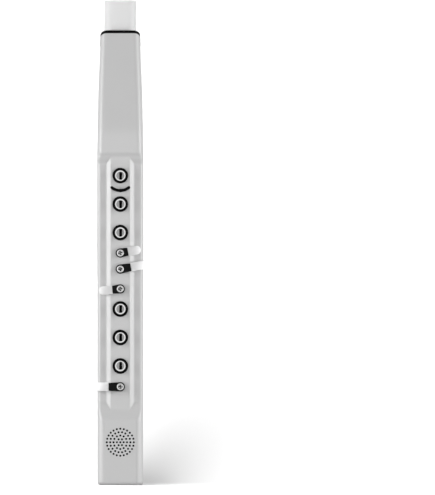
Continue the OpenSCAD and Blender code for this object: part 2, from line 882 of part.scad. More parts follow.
crescent_t = 1.9;
end_trim = 0.1;
module crescent_key() {
    color(dark)
        on_deck(crescent_z)
            union() {
                stem(crescent_stem_d, crescent_lift - 0.5);
                translate([0, crescent_r, crescent_lift - crescent_t])
                    linear_extrude(crescent_t)
                        union() {
                            intersection() {
                                difference() {
                                    circle(r = crescent_r + crescent_band / 2);
                                    circle(r = crescent_r - crescent_band / 2);
                                }
                                polygon([[0, 0], [-40 * sin(crescent_angle), -40 * cos(crescent_angle)],
                                    [0, -60], [40 * sin(crescent_angle), -40 * cos(crescent_angle)]]);
                            }
                            for (s = [-1, 1])
                                rotate([0, 0, s * crescent_angle])
                                    translate([0, -crescent_r])
                                        circle(d = crescent_band - end_trim);
                        }
            }
}

// Side keys: a guided post, an arm that swivels on its pin, a bent paddle and a screw
arm_top = arm_lift + arm_t;
head_t = 1.3;
head_sink = 0.4;
slot_deep = 3.4;
tongue_w = 4.6;
paddle_top = arm_top - 0.5;
shank_r = 1;
shank_len = 6;

module at_side(i, lift = true) {
    on_deck(side_z[i])
        mirror([side_dir[i] < 0 ? 1 : 0, 0, 0])
            rotate([0, 0, lift ? side_tilt[i] : 0])
                children();
}

module side_post(i) {
    color(dark)
        at_side(i, false)
            difference() {
                union() {
                    stem(post_d, arm_lift - seat_gap);
                    translate([0, 0, arm_lift - seat_gap - 1])
                        cylinder(d = pivot_d, h = arm_t - head_sink + seat_gap + 1 - 0.05);
                }
                translate([0, 0, arm_top - head_sink - shank_len])
                    cylinder(r = shank_r + seat_gap, h = shank_len + 1);
            }
}

module side_arm(i) {
    root = arm_d / 2 - 0.1;
    color(dark)
        at_side(i)
            difference() {
                union() {
                    translate([0, 0, arm_lift])
                        cylinder(d = arm_d, h = arm_t);
                    translate([0, 0, arm_lift])
                        linear_extrude(arm_t)
                            polygon([[0, -root], [arm_reach[i], -arm_w / 2],
                                [arm_reach[i], arm_w / 2], [0, root]]);
                }
                translate([0, 0, arm_lift - 1])
                    cylinder(r = pivot_d / 2 + run_fit, h = arm_t + 2);
                translate([0, 0, arm_top - head_sink])
                    cylinder(r = screw_head_d / 2 + run_fit, h = 2);
                translate([arm_reach[i] - slot_deep, -tongue_w / 2 - seat_gap,
                        paddle_top - paddle_t - seat_gap])
                    cube([slot_deep + 1, tongue_w + 2 * seat_gap, paddle_t + 2 * seat_gap]);
            }
}

module paddle(i) {
    run = paddle_reach[i] - arm_reach[i];
    lie = atan(paddle_drop[i] / run);
    bend_r = norm([run, paddle_drop[i]]) / (2 * sin(paddle_curve));
    from = lie - paddle_curve;
    to = lie + paddle_curve;
    color(silver)
        at_side(i)
            union() {
                translate([arm_reach[i] - slot_deep + seat_gap, -tongue_w / 2, paddle_top - paddle_t])
                    cube([slot_deep + 0.2, tongue_w, paddle_t]);
                intersection() {
                    translate([arm_reach[i] + seat_gap - bend_r * sin(from), 0,
                        paddle_top - bend_r * cos(from)])
                        rotate([90, 0, 0])
                            linear_extrude(paddle_w + 2, center = true)
                                intersection() {
                                    difference() {
                                        circle(r = bend_r, $fn = 128);
                                        circle(r = bend_r - paddle_t, $fn = 128);
                                    }
                                    polygon([[0, 0], 2 * bend_r * [sin(from - 4), cos(from - 4)],
                                        2 * bend_r * [sin(to + 4), cos(to + 4)]]);
                                }
                    translate([0, 0, -20])
                        linear_extrude(40)
                            union() {
                                translate([arm_reach[i] + seat_gap, -paddle_w / 2])
                                    square([run - seat_gap - paddle_w / 2, paddle_w]);
                                translate([arm_reach[i] + run - paddle_w / 2, 0])
                                    circle(d = paddle_w);
                            }
                }
            }
}

module arm_screw(i) {
    low = arm_top - head_sink;
    color(silver)
        at_side(i)
            difference() {
                union() {
                    translate([0, 0, low - shank_len + 0.5])
                        cylinder(r = shank_r, h = shank_len);
                    translate([0, 0, low])
                        cylinder(d = screw_head_d, h = head_t * 0.5);
                    translate([0, 0, low + head_t * 0.5])
                        cylinder(d1 = screw_head_d, d2 = screw_head_d - 1.6, h = head_t * 0.5);
                }
                for (a = [45, 135])
                    rotate([0, 0, a])
                        translate([-2, -0.45, low + head_t - 0.8])
                            cube([4, 0.9, 2]);
            }
}

// Lower block: batteries, speaker and sockets
tray_wall = 1.5;
tray_low = chamfer_h + 0.5;
tray_high = back_step - 0.2;
tray_w = 2 * cell_d + 4.2;
tray_back = block_back - wall - 0.6;
tray_depth = cell_d + tray_wall + 1.2;
cell_x = cell_d / 2 + 0.25;
cell_low = tray_low + tray_wall + 0.6;
module battery_cells() {
    color([0.3, 0.32, 0.36])
        union()
            for (s = [-1, 1])
                translate([s * cell_x, tray_back - cell_d / 2 - 0.4, cell_low]) {
                    cylinder(d = cell_d, h = cell_len - 1.2);
                    translate([0, 0, cell_len - 1.3])
                        cylinder(d = 5.5, h = 1.3);
                }
}

module battery_tray() {
    color([0.2, 0.2, 0.22])
        difference() {
            translate([-tray_w / 2, tray_back - tray_depth, tray_low])
                cube([tray_w, tray_depth, tray_high - tray_low]);
            translate([-tray_w / 2 + tray_wall, tray_back - tray_depth + tray_wall, tray_low + tray_wall])
                cube([tray_w - 2 * tray_wall, tray_depth, tray_high - tray_low - 2 * tray_wall]);
        }
}

grip_bars = 5;
module battery_cover() {
    color(light_grey)
        difference() {
            translate([-cover_w / 2, block_back - wall, cover_low])
                cube([cover_w, wall, cover_h]);
            for (k = [0:grip_bars - 1])
                translate([-cover_w / 4, block_back - 0.5, cover_low + cover_h - 6 - 2.4 * k])
                    cube([cover_w / 2, 1, 1]);
        }
}

speaker_y = -(block_front_low + (block_front - block_front_low) * (grille_z - speaker_d / 2) / block_top
    - wall - seat_gap);
module speaker_frame() {
    r = speaker_d / 2;
    color([0.25, 0.25, 0.27])
        translate([0, speaker_y, grille_z])
            rotate([-90, 0, 0])
                rotate_extrude()
                    polygon([[r - 2.4, 0], [r, 0], [r, speaker_h * 0.13], [r - 1.6, speaker_h * 0.13],
                        [r * 0.6, speaker_h * 0.64], [r * 0.6, speaker_h], [0, speaker_h],
                        [0, speaker_h * 0.69], [r * 0.5, speaker_h * 0.69],
                        [r * 0.5, speaker_h * 0.56], [r - 2.4, speaker_h * 0.11]]);
}

module speaker_cone() {
    r = speaker_d / 2 - 2.45;
    color(dark)
        translate([0, speaker_y, grille_z])
            rotate([-90, 0, 0])
                rotate_extrude()
                    polygon([[0, speaker_h * 0.24], [r * 0.34, speaker_h * 0.2], [r * 0.4, speaker_h * 0.36],
                        [r * 0.86, speaker_h * 0.05], [r, speaker_h * 0.02], [r, speaker_h * 0.08],
                        [r * 0.9, speaker_h * 0.1], [r * 0.44, speaker_h * 0.44],
                        [r * 0.3, speaker_h * 0.44], [0, speaker_h * 0.29]]);
}

flush = 0.3;
module headphone_socket() {
    color(dark)
        translate([port_x, port_y, flush])
            difference() {
                union() {
                    cylinder(d = jack_d, h = jack_depth + 2);
                    translate([0, 0, wall - flush + seat_gap])
                        cylinder(d = jack_d + 3, h = jack_depth + 2 - wall);
                }
                translate([0, 0, -1])
                    cylinder(d = jack_bore, h = jack_depth + 1);
            }
}

module usb_socket() {
    depth = 7;
    color(silver)
        difference() {
            translate([-port_x - usb_w / 2, port_y - usb_h / 2, flush])
                cube([usb_w, usb_h, depth]);
            translate([-port_x - usb_w / 2 + 0.4, port_y - usb_h / 2 + 0.4, flush - 1])
                cube([usb_w - 0.8, usb_h - 0.8, depth]);
        }
}

// Back: display, knob, buttons, strap loop, hook and thumb pad
display_r = 2;
module display_cover() {
    color([0.02, 0.02, 0.025])
        on_back(display_z)
            linear_extrude(display_t)
                union() {
                    square([display_w, display_h - 2 * display_r], center = true);
                    square([display_w - 2 * display_r, display_h], center = true);
                    for (x = [-1, 1])
                        for (y = [-1, 1])
                            translate([x * (display_w / 2 - display_r), y * (display_h / 2 - display_r)])
                                circle(r = display_r);
                }
}

module display_module() {
    color([0.15, 0.2, 0.25])
        translate([-display_w / 2 + 1, back_inner - seat_gap - 3, display_z - display_h / 2 + 1])
            cube([display_w - 2, 3, display_h - 2]);
}

encoder_h = 6;
module encoder() {
    color([0.3, 0.3, 0.32])
        on_back(knob_z)
            difference() {
                translate([-6, -6, -wall - seat_gap - encoder_h])
                    cube([12, 12, encoder_h]);
                translate([0, 0, -wall - seat_gap - encoder_h + 1])
                    cylinder(r = shaft_d / 2 + run_fit, h = encoder_h + 1);
            }
}

knob_edge = 0.7;
module menu_knob() {
    color(dark)
        on_back(knob_z)
            union() {
                translate([0, 0, -wall - encoder_h + 1.4])
                    cylinder(d = shaft_d, h = wall + encoder_h);
                rotate_extrude($fn = 96)
                    polygon([[0, 0.3], [knob_d / 2, 0.3], [knob_d / 2, 0.3 + knob_t - knob_edge],
                        [knob_d / 2 - knob_edge, 0.3 + knob_t], [0, 0.3 + knob_t]]);
            }
}

button_flange = 0.9;
module back_button(z) {
    stem_end = boss_back_y + switch_back_h + button_travel + 0.15;
    color(dark)
        on_back(z)
            union() {
                translate([0, 0, -wall - seat_gap - 0.5])
                    cylinder(d = button_d, h = wall + seat_gap + 0.5 + button_proud);
                translate([0, 0, -wall - seat_gap - flange_t])
                    cylinder(r = button_d / 2 + button_flange, h = flange_t);
                translate([0, 0, -(back_depth - stem_end)])
                    cylinder(d = 3, h = back_depth - stem_end - wall);
            }
}

module power_button() {
    back_button(power_z);
}

module rear_button_upper() {
    back_button(rear_upper_z);
}

module rear_button_lower() {
    back_button(rear_lower_z);
}

loop_foot = 5;
module strap_loop() {
    inner_y = back_inner - seat_gap;
    leg_y = inner_y - loop_t;
    color(silver)
        intersection() {
            translate([0, 0, loop_z - loop_h / 2])
                linear_extrude(loop_h)
                    union() {
                        difference() {
                            union() {
                                translate([-loop_w / 2, leg_y])
                                    square([loop_w, loop_reach - loop_w / 2 - leg_y]);
                                translate([0, loop_reach - loop_w / 2])
                                    circle(d = loop_w);
                            }
                            translate([-loop_w / 2 + loop_t, leg_y - 1])
                                square([loop_w - 2 * loop_t, loop_reach - loop_w / 2 - leg_y + 1]);
                            translate([0, loop_reach - loop_w / 2])
                                circle(d = loop_w - 2 * loop_t);
                        }
                        for (s = [-1, 1])
                            translate([s * (loop_w / 2 + loop_foot / 2 - 0.5) - loop_foot / 2 - 0.5, leg_y])
                                square([loop_foot + 1, loop_t]);
                    }
            // Rounded outer end in side view
            translate([-30, 0, loop_z])
                rotate([90, 0, 90])
                    linear_extrude(60)
                        union() {
                            translate([leg_y - 1, -loop_h / 2])
                                square([loop_reach - loop_h / 2 - leg_y + 1, loop_h]);
                            translate([loop_reach - loop_h / 2, 0])
                                circle(d = loop_h);
                        }
        }
}

function bez(a, b, c, n) = [for (i = [0:n]) let (t = i / n)
    (1 - t) * (1 - t) * a + 2 * t * (1 - t) * b + t * t * c];
hook_bulge = [back_depth + 8.9, hook_top_z - 6.6];
module thumb_hook() {
    tip = [hook_reach, hook_tip_z];
    root_low = [back_depth, hook_root_z];
    color(dark)
        difference() {
            translate([-hook_w / 2, 0, 0])
                rotate([90, 0, 90])
                    linear_extrude(hook_w)
                        polygon(concat(
                            bez([back_depth, hook_top_z],
                                [back_depth + 5.6, hook_top_z - 0.4], hook_bulge, 6),
                            [tip + [0, 0.9], tip + [-0.5, 0]],
                            bez(tip + [-1.4, 0.6], [hook_reach - 7.6, hook_root_z - 1.2],
                                [back_depth + 7.6, hook_root_z], 8),
                            [root_low]));
            // Fork round the strap loop
            translate([-loop_w / 2 - 0.8, back_depth - 1, loop_z - loop_h / 2 - 0.8])
                cube([loop_w + 1.6, 40, 40]);
        }
}

// Sloped seat of the thumb pad: its foot on the back, its run down and out
pad_foot = [back_depth, pad_z];
pad_tip = [back_depth + housing_out, pad_z - housing_out * 1.04];
pad_dir = (pad_tip - pad_foot) / norm(pad_tip - pad_foot);
pad_mid = (pad_foot + pad_tip) / 2;
pad_angle = atan2(-pad_dir[1], pad_dir[0]);
pad_t = 2;
pad_sink = pad_travel + 0.05;
plunger_r = 2.5;
plunger_len = 3.2;

// Child frame: x across, y down the seat's slope, z out of the seat
module on_pad() {
    translate([0, pad_mid[0], pad_mid[1]])
        rotate([-pad_angle, 0, 0])
            children();
}

module pad_housing() {
    color(light_grey)
        difference() {
            translate([-housing_w / 2, 0, 0])
                rotate([90, 0, 90])
                    linear_extrude(housing_w)
                        polygon([pad_foot, pad_tip, pad_tip + [0.02, -0.36] * housing_out,
                            pad_tip + [-0.32, -0.66] * housing_out, pad_tip + [-0.4, -1] * housing_out,
                            pad_tip + [-0.42, -1.76] * housing_out, pad_tip + [-0.78, -2.06] * housing_out,
                            [back_depth, pad_tip[1] - 2.16 * housing_out]]);
            on_pad()
                translate([-pad_w / 2 - 0.3, -pad_len / 2 - 0.3, -pad_sink])
                    cube([pad_w + 0.6, pad_len + 0.6, 6]);
            on_pad()
                translate([0, 0, -plunger_len - pad_travel - 0.1])
                    cylinder(r = plunger_r + run_fit, h = 12);
        }
}

module thumb_pad() {
    color(dark)
        on_pad()
            union() {
                translate([-pad_w / 2, -pad_len / 2, 0])
                    cube([pad_w, pad_len, pad_t - pad_sink]);
                translate([0, 0, -plunger_len])
                    cylinder(r = plunger_r, h = plunger_len + 0.5);
            }
}

module case_screws() {
    low = back_depth - sink_depth;
    color(silver)
        union()
            at_screws()
                difference() {
                    union() {
                        translate([0, 0, low - screw_len + 9])
                            cylinder(r = screw_r, h = screw_len - 9 + 0.5);
                        translate([0, 0, low])
                            cylinder(r = head_r2, h = head_h2);
                    }
                    for (a = [0, 90])
                        rotate([0, 0, a])
                            translate([-1.3, -0.3, low + head_h2 - 0.8])
                                cube([2.6, 0.6, 2]);
                }
}

front_shell();
back_shell();
trim_ring();
mouthpiece_collar();
mouthpiece();
mouthpiece_cap();
breath_tube();
pressure_sensor();
main_board();
key_switches();
key_chassis();
battery_cells();
battery_tray();
battery_cover();
speaker_frame();
speaker_cone();
crescent_key();
menu_knob();
encoder();
display_cover();
display_module();
power_button();
rear_button_upper();
rear_button_lower();
strap_loop();
thumb_hook();
pad_housing();
thumb_pad();
headphone_socket();
usb_socket();
case_screws();
for (i = [0:KEYS - 1]) {
    finger_key(i);
    key_dome(i);
}
for (i = [0:SIDES - 1]) {
    side_post(i);
    side_arm(i);
    paddle(i);
    arm_screw(i);
}
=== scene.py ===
import bpy
import bmesh
from math import acos, atan, atan2, cos, degrees, hypot, pi, radians, sin, sqrt, tan
from mathutils import Matrix, Vector


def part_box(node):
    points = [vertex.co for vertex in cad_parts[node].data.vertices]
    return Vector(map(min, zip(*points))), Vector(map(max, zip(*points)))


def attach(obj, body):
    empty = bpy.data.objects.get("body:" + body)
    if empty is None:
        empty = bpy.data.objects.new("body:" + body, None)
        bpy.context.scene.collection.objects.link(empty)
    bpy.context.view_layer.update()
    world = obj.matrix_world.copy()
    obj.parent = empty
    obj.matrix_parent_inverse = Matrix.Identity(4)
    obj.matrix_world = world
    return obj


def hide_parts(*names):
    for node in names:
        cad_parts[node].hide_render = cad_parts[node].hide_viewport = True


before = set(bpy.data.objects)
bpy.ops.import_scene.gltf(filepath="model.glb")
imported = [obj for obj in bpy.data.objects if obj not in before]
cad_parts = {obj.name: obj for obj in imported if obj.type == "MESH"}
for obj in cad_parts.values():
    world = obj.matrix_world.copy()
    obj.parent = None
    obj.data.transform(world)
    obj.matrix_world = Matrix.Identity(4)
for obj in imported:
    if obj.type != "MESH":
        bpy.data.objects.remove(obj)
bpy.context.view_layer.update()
print("frame loaded:", len(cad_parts), "nodes")

mm = 0.001
scene = bpy.context.scene
alongX = Matrix(((0, 0, 1, 0), (1, 0, 0, 0), (0, 1, 0, 0), (0, 0, 0, 1)))  # lays an outline in y and z


def linked(name, data):
    obj = bpy.data.objects.new(name, data)
    scene.collection.objects.link(obj)
    return obj


def configure(item, **values):
    for key, value in values.items():
        setattr(item, key, value)
    return item


def newMesh(name, points, faces):
    # Points are in millimetres
    mesh = bpy.data.meshes.new(name)
    mesh.from_pydata([Vector(p) * mm for p in points], [], faces)
    mesh.validate()
    return linked(name, mesh)


def outward(obj, weld=0.0, clean=0.0):
    # Turns the faces outward; points nearer than weld become one, and slivers under clean go
    bm = bmesh.new()
    bm.from_mesh(obj.data)
    if weld:
        bmesh.ops.remove_doubles(bm, verts=bm.verts, dist=weld)
    if clean:
        bmesh.ops.dissolve_degenerate(bm, edges=bm.edges, dist=clean)
    bmesh.ops.recalc_face_normals(bm, faces=bm.faces)
    if bm.calc_volume(signed=True) < 0:
        bmesh.ops.reverse_faces(bm, faces=bm.faces)
    bm.to_mesh(obj.data)
    bm.free()
    return obj


def loftRings(name, rings, closedEnds=True):
    count, last = len(rings[0]), len(rings) - 1
    points = [p for ring in rings for p in ring]
    faces = []
    for i in range(last):
        a, b = i * count, (i + 1) * count
        for j in range(count):
            k = (j + 1) % count
            faces.append((a + j, a + k, b + k, b + j))
    if closedEnds:
        faces += [tuple(range(count - 1, -1, -1)), tuple(last * count + j for j in range(count))]
    return outward(newMesh(name, points, faces))


def prism(name, outline, low, high):
    # outline is a list of (x, y), and the prism rises along z
    return loftRings(name, [[(x, y, z) for x, y in outline] for z in (low, high)])


def lathe(name, profile, steps=64):
    # profile runs from the axis round to the axis, as (radius, height)
    angles = [2 * pi * k / steps for k in range(steps)]
    rings = [[(r * cos(a), r * sin(a), h) for a in angles] for r, h in profile]
    return outward(loftRings(name, rings, closedEnds=False), weld=1e-7)


def box(name, low, high):
    (x0, y0, z0), (x1, y1, z1) = low, high
    return prism(name, [(x0, y0), (x1, y0), (x1, y1), (x0, y1)], z0, z1)


def drill(r, low, high, flare=0.0, steps=40):
    # A round cutter along z, with a small chamfer where it meets the surface at 0
    profile = [(0, low), (r, low)]
    if flare:
        profile += [(r, -flare), (r + flare, 0), (r + flare + 1, 1), (r + flare + 1, high)]
    else:
        profile += [(r, high)]
    return lathe("drill", profile + [(0, high)], steps)


def place(obj, matrix):
    move = matrix.copy()
    move.translation = move.translation * mm
    obj.data.transform(move)
    if move.to_3x3().determinant() < 0:
        obj.data.flip_normals()
    return obj


def shift(x, y, z):
    return Matrix.Translation((x, y, z))


def turn(angle, axis):
    return Matrix.Rotation(radians(angle), 4, axis)


def apply(obj):
    graph = bpy.context.evaluated_depsgraph_get()
    made = bpy.data.meshes.new_from_object(obj.evaluated_get(graph))
    old = obj.data
    obj.modifiers.clear()
    obj.data = made
    made.name = obj.name
    bpy.data.meshes.remove(old)
    return obj


def carve(obj, tool, way="DIFFERENCE"):
    configure(obj.modifiers.new("carve", "BOOLEAN"), operation=way, solver="MANIFOLD", object=tool)
    apply(obj)
    bpy.data.objects.remove(tool)
    return obj


def joined(name, objs):
    bm = bmesh.new()
    for o in objs:
        bm.from_mesh(o.data)
        bpy.data.objects.remove(o)
    mesh = bpy.data.meshes.new(name)
    bm.to_mesh(mesh)
    bm.free()
    return linked(name, mesh)


def soften(obj, width, steps=3, angle=50):
    configure(obj.modifiers.new("edges", "BEVEL"), width=width * mm, segments=steps, limit_method="ANGLE",
              angle_limit=radians(angle))
    return apply(obj)


def dress(obj, finish, body, node, angle=35):
    # Smooth shading with sharp edges, the finish, and the body and node that the piece belongs to
    mesh = obj.data
    for poly in mesh.polygons:
        poly.use_smooth = True
    mesh.set_sharp_from_angle(angle=radians(angle))
    mesh.materials.clear()
    mesh.materials.append(paint[finish])
    configure(obj.modifiers.new("even", "WEIGHTED_NORMAL"), keep_sharp=True, weight=60)
    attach(obj, body)
    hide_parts(node)


def arc(cx, cy, r, start, end, steps):
    angles = (radians(start + (end - start) * k / steps) for k in range(steps + 1))
    return [(cx + r * cos(a), cy + r * sin(a)) for a in angles]


def pillOutline(w, d, steps=24):
    r, run = d / 2, (w - d) / 2
    return arc(run, 0, r, -90, 90, steps) + arc(-run, 0, r, 90, 270, steps)


def roundOutline(w, h, r, steps=8):
    x, y = w / 2 - r, h / 2 - r
    corners = ((x, -y), (x, y), (-x, y), (-x, -y))
    return [p for k, (cx, cy) in enumerate(corners) for p in arc(cx, cy, r, 90 * k - 90, 90 * k, steps)]


def roundedCorner(before, corner, after, size, count=5):
    a, b, p = Vector(before) - Vector(corner), Vector(after) - Vector(corner), Vector(corner)
    size = min(size, 0.45 * a.length, 0.45 * b.length)
    p0, p2 = p + a.normalized() * size, p + b.normalized() * size
    shares = [k / count for k in range(count + 1)]
    return [tuple(p0 * (1 - t) ** 2 + p * 2 * t * (1 - t) + p2 * t * t) for t in shares]


def addNode(tree, kind, inputs=None, **settings):
    # A shader node; each input takes a plain value, a socket, or a node whose first output feeds it
    node = configure(tree.nodes.new("ShaderNode" + kind), **settings)
    for key, value in (inputs or {}).items():
        if isinstance(value, bpy.types.Node):
            value = value.outputs[0]
        if isinstance(value, bpy.types.NodeSocket):
            tree.links.new(value, node.inputs[key])
        else:
            node.inputs[key].default_value = value
    return node


def groupShell(name, inputs, output):
    tree = bpy.data.node_groups.new(name, "ShaderNodeTree")
    for label, value in inputs.items():
        kind = "NodeSocketColor" if isinstance(value, tuple) else "NodeSocketFloat"
        socket = tree.interface.new_socket(label, in_out="INPUT", socket_type=kind)
        socket.default_value = value
    kind = "NodeSocketColor" if output == "Color" else "NodeSocketFloat"
    tree.interface.new_socket(output, in_out="OUTPUT", socket_type=kind)
    into, out = tree.nodes.new("NodeGroupInput"), tree.nodes.new("NodeGroupOutput")
    spot = addNode(tree, "TexCoord").outputs["Object"]
    return tree, into.outputs, out.inputs[output], spot


def mouldGrainGroup():
    # Fine moulded texture as a height, with a slow unevenness under it
    tree, into, out, spot = groupShell("mouldGrain", {"Scale": 3000.0, "Waviness": 0.25}, "Height")
    fine = addNode(tree, "TexNoise", {"Detail": 3, "Vector": spot, "Scale": into["Scale"]})
    slow = addNode(tree, "TexNoise", {"Scale": 45, "Vector": spot})
    mix = addNode(tree, "Mix", {"Factor": into["Waviness"], "A": fine, "B": slow})
    tree.links.new(mix.outputs["Result"], out)
    return tree


def toneDriftGroup():
    # A colour that drifts a little between two tones, with sparse fine specks of dust
    tree, into, out, spot = groupShell("toneDrift", {
        "Tone A": (0.5, 0.5, 0.5, 1), "Tone B": (0.55, 0.55, 0.55, 1),
        "Dust": (0.6, 0.6, 0.6, 1), "Dust Amount": 0.15}, "Color")
    slow = addNode(tree, "TexNoise", {"Scale": 28, "Detail": 5, "Vector": spot})
    drift = addNode(tree, "Mix", {"Factor": slow, 6: into["Tone A"], 7: into["Tone B"]}, data_type="RGBA")
    specks = addNode(tree, "TexNoise", {"Scale": 1400, "Detail": 1, "Vector": spot})
    sparse = addNode(tree, "MapRange", {"From Min": 0.70, "From Max": 0.78, "Value": specks})
    amount = addNode(tree, "Math", {0: sparse, 1: into["Dust Amount"]}, operation="MULTIPLY")
    dusty = addNode(tree, "Mix", {"Factor": amount, 6: drift.outputs[2], 7: into["Dust"]}, data_type="RGBA")
    tree.links.new(dusty.outputs[2], out)
    return tree


def handledGroup():
    # Roughness of a handled surface: faint smudges and short rub marks
    tree, into, out, spot = groupShell("handled", {"Smooth": 0.3, "Rough": 0.45, "Rub": 0.1}, "Roughness")
    smudge = addNode(tree, "TexNoise", {"Scale": 60, "Detail": 6, "Vector": spot})
    smudged = addNode(tree, "MapRange", {"From Min": 0.3, "From Max": 0.7, "Value": smudge,
                                         "To Min": into["Smooth"], "To Max": into["Rough"]})
    stretch = addNode(tree, "Mapping", {"Scale": (900, 900, 120), "Vector": spot})
    rub = addNode(tree, "TexNoise", {"Scale": 1.0, "Vector": stretch})
    centred = addNode(tree, "Math", {0: rub, 1: 0.5}, operation="SUBTRACT")
    rubbed = addNode(tree, "Math", {0: centred, 1: into["Rub"], 2: smudged}, operation="MULTIPLY_ADD")
    tree.links.new(rubbed.outputs["Value"], out)
    return tree


mouldGrain, toneDrift, handled = mouldGrainGroup(), toneDriftGroup(), handledGroup()
shaderSockets = dict(metallic="Metallic", ior="IOR", clear="Transmission Weight", specular="Specular IOR Level")


def tone(value):
    # A grey or colour written as 0 to 255, the way a paint program shows it
    parts = value if isinstance(value, tuple) else (value,) * 3
    return tuple((((c / 255 + 0.055) / 1.055) ** 2.4 if c > 10 else c / 255 / 12.92) for c in parts) + (1.0,)


def newMaterial(name):
    material = bpy.data.materials.new(name)
    material.use_nodes = True
    return material, material.node_tree


def finishMaterial(name, look):
    material, tree = newMaterial(name)
    shader = tree.nodes["Principled BSDF"]
    for key, socket in shaderSockets.items():
        if key in look:
            shader.inputs[socket].default_value = look[key]
    first, second = look["tones"]
    colour = addNode(tree, "Group", {
        "Tone A": tone(first), "Tone B": tone(second), "Dust": tone(look.get("dust", second)),
        "Dust Amount": look.get("dustAmount", 0.1)}, node_tree=toneDrift)
    rough = addNode(tree, "Group", {"Smooth": look["rough"][0], "Rough": look["rough"][1],
                                    "Rub": look.get("rub", 0.05)}, node_tree=handled)
    grain = addNode(tree, "Group", {"Scale": look.get("grain", 3000)}, node_tree=mouldGrain)
    bump = addNode(tree, "Bump", {"Strength": look.get("bump", 0.08), "Distance": 0.0001, "Height": grain})
    for source, label in ((colour, "Base Color"), (rough, "Roughness"), (bump, "Normal")):
        tree.links.new(source.outputs[0], shader.inputs[label])
    return material


# Each finish: its slot if it has one, its two tones, its roughness from and to, and what isn't plain about it
finishes = dict(
    shellGrey=dict(slot="shell_grey", tones=(201, 204), rough=(0.34, 0.4), rub=0.03, grain=5200, bump=0.05,
                   dust=190, dustAmount=0.25, specular=0.65),
    trimBlack=dict(slot="trim_black", tones=(9, 13), rough=(0.32, 0.4), grain=4000, bump=0.05, specular=0.2),
    keyBlack=dict(slot="soft_black", tones=(9, 13), rough=(0.34, 0.44), grain=4200, specular=0.22),
    paintBlack=dict(slot="soft_black", tones=(24, 29), rough=(0.38, 0.48), grain=3600, bump=0.1, specular=0.3),
    rubberBlack=dict(slot="soft_black", tones=(30, 38), rough=(0.55, 0.68), grain=2600, bump=0.16),
    displayBlack=dict(slot="display_black", tones=(9, 12), rough=(0.06, 0.1), rub=0.02, grain=900, bump=0.01),
    polished=dict(slot="chrome", tones=(222, 228), rough=(0.07, 0.12), rub=0.03, metallic=1, bump=0.012),
    # Also a painted highlight on the rim of the arm screws' heads
    bladeChromeAndScrewHighlight=dict(slot="chrome", tones=(219, 223), rough=(0.34, 0.4), metallic=0.2, bump=0.015),
    screwSteel=dict(slot="steel", tones=(205, 214), rough=(0.16, 0.26), rub=0.08, metallic=1, bump=0.03),
    capFrost=dict(slot="cap_frosted", tones=(244, 247), rough=(0.42, 0.5), clear=0.2, ior=1.35, bump=0.04,
                  grain=2500),
    beakWhite=dict(slot="mouthpiece_white", tones=(214, 220), rough=(0.28, 0.36), bump=0.03),
    collarPale=dict(slot="mouthpiece_white", tones=(214, 218), rough=(0.34, 0.42), bump=0.04),
    tubeClear=dict(tones=(214, 220), rough=(0.3, 0.4), clear=0.3, ior=1.41),
    boardGreen=dict(tones=((20, 84, 52), (26, 98, 62)), rough=(0.32, 0.42), dust=(160, 150, 90), dustAmount=0.5),
    # Also painted shade on the walls of the grille's holes
    innerBlackAndHoleShade=dict(tones=(30, 36), rough=(0.45, 0.6), bump=0.1),
    conePaper=dict(tones=(24, 34), rough=(0.75, 0.9), grain=1800, bump=0.3),
    lensGlass=dict(tones=(34, 44), rough=(0.05, 0.09), bump=0),
    cellJacket=dict(tones=((52, 60, 78), (58, 68, 88)), rough=(0.25, 0.34)))
paint = {name: finishMaterial(name, look) for name, look in finishes.items()}
print("finishes made:", len(paint))


# The casing's sections along z, with the values of the solids
casing = dict(
    bodyTop=424.3, topSlope=33, wall=2.2, blockW=43.2, keyW=43.8, headW=41.8, neckW=37.6,
    blockFrontLow=22.8, blockFront=25.4, blockTop=61, stepLen=12, deckFront=21.75, deckEnd=310.8,
    headStep=5.6, headFront=24.3, headBend=331, neckFront=7.9, deckHalf=8.9, footHalf=13.5,
    shelfDrop=3, shoulderR=3.8, headR=6.7, blockR=6.2, backR=7, backDepth=17.4, blockBack=21,
    backStep=67.8, backStepLen=15, chamferH=12.2, chamferDepth=10.7, baseR=3,
    seamGroove=0.28, deckRound=0.9, footRound=1.3, headSoft=5, widthLow=185, widthHigh=222, above=22,
    slantStart=6, slantWide=0.12, slantShallow=0.22, slantFlat=0.5)
c = casing
deckStart = c["blockTop"] + c["stepLen"]
headStart = c["deckEnd"] + c["headStep"]
headMid = headStart + 50


def ramp(z, a, b):
    t = min(1, max(0, (z - a) / (b - a)))
    return t * t * (3 - 2 * t)


def alongTable(z, table):
    if z <= table[0][0]:
        return table[0][1]
    for (z0, v0), (z1, v1) in zip(table, table[1:]):
        if z <= z1:
            return v0 + (v1 - v0) * (z - z0) / (z1 - z0)
    return table[-1][1]


def eased(fn, z, reach=0.9):
    # The section's value with its kinks rounded off over a short run
    return sum(fn(z + reach * k / 3) for k in range(-3, 4)) / 7


def lean(t):
    s = c["headSoft"]
    return 0 if t <= 0 else t * t / (4 * s) if t < 2 * s else t - s


def baseIn(z):
    r = c["baseR"]
    return 0 if z >= r else r - sqrt(max(0, r * r - (r - z) ** 2))


def halfWidth(z):
    neck = c["keyW"] - c["neckW"]
    slim = alongTable(z, [(c["deckEnd"], 0), (headMid, c["keyW"] - c["headW"]), (c["bodyTop"], neck),
                          (c["bodyTop"] + c["above"], neck + 2)])
    wide = c["blockW"] + (c["keyW"] - c["blockW"]) * ramp(z, c["widthLow"], c["widthHigh"])
    return (wide - slim) / 2 - baseIn(z)


def frontRaw(z):
    return (alongTable(z, [(0, c["blockFrontLow"]), (c["blockTop"], c["blockFront"])])
            + (c["deckFront"] - c["blockFront"]) * ramp(z, c["blockTop"], deckStart)
            + (c["headFront"] - c["deckFront"]) * ramp(z, c["deckEnd"], headStart)
            - (c["headFront"] - c["neckFront"]) / lean(c["bodyTop"] - c["headBend"]) * lean(z - c["headBend"]))


def frontDepth(z):
    return eased(frontRaw, z) - baseIn(z)


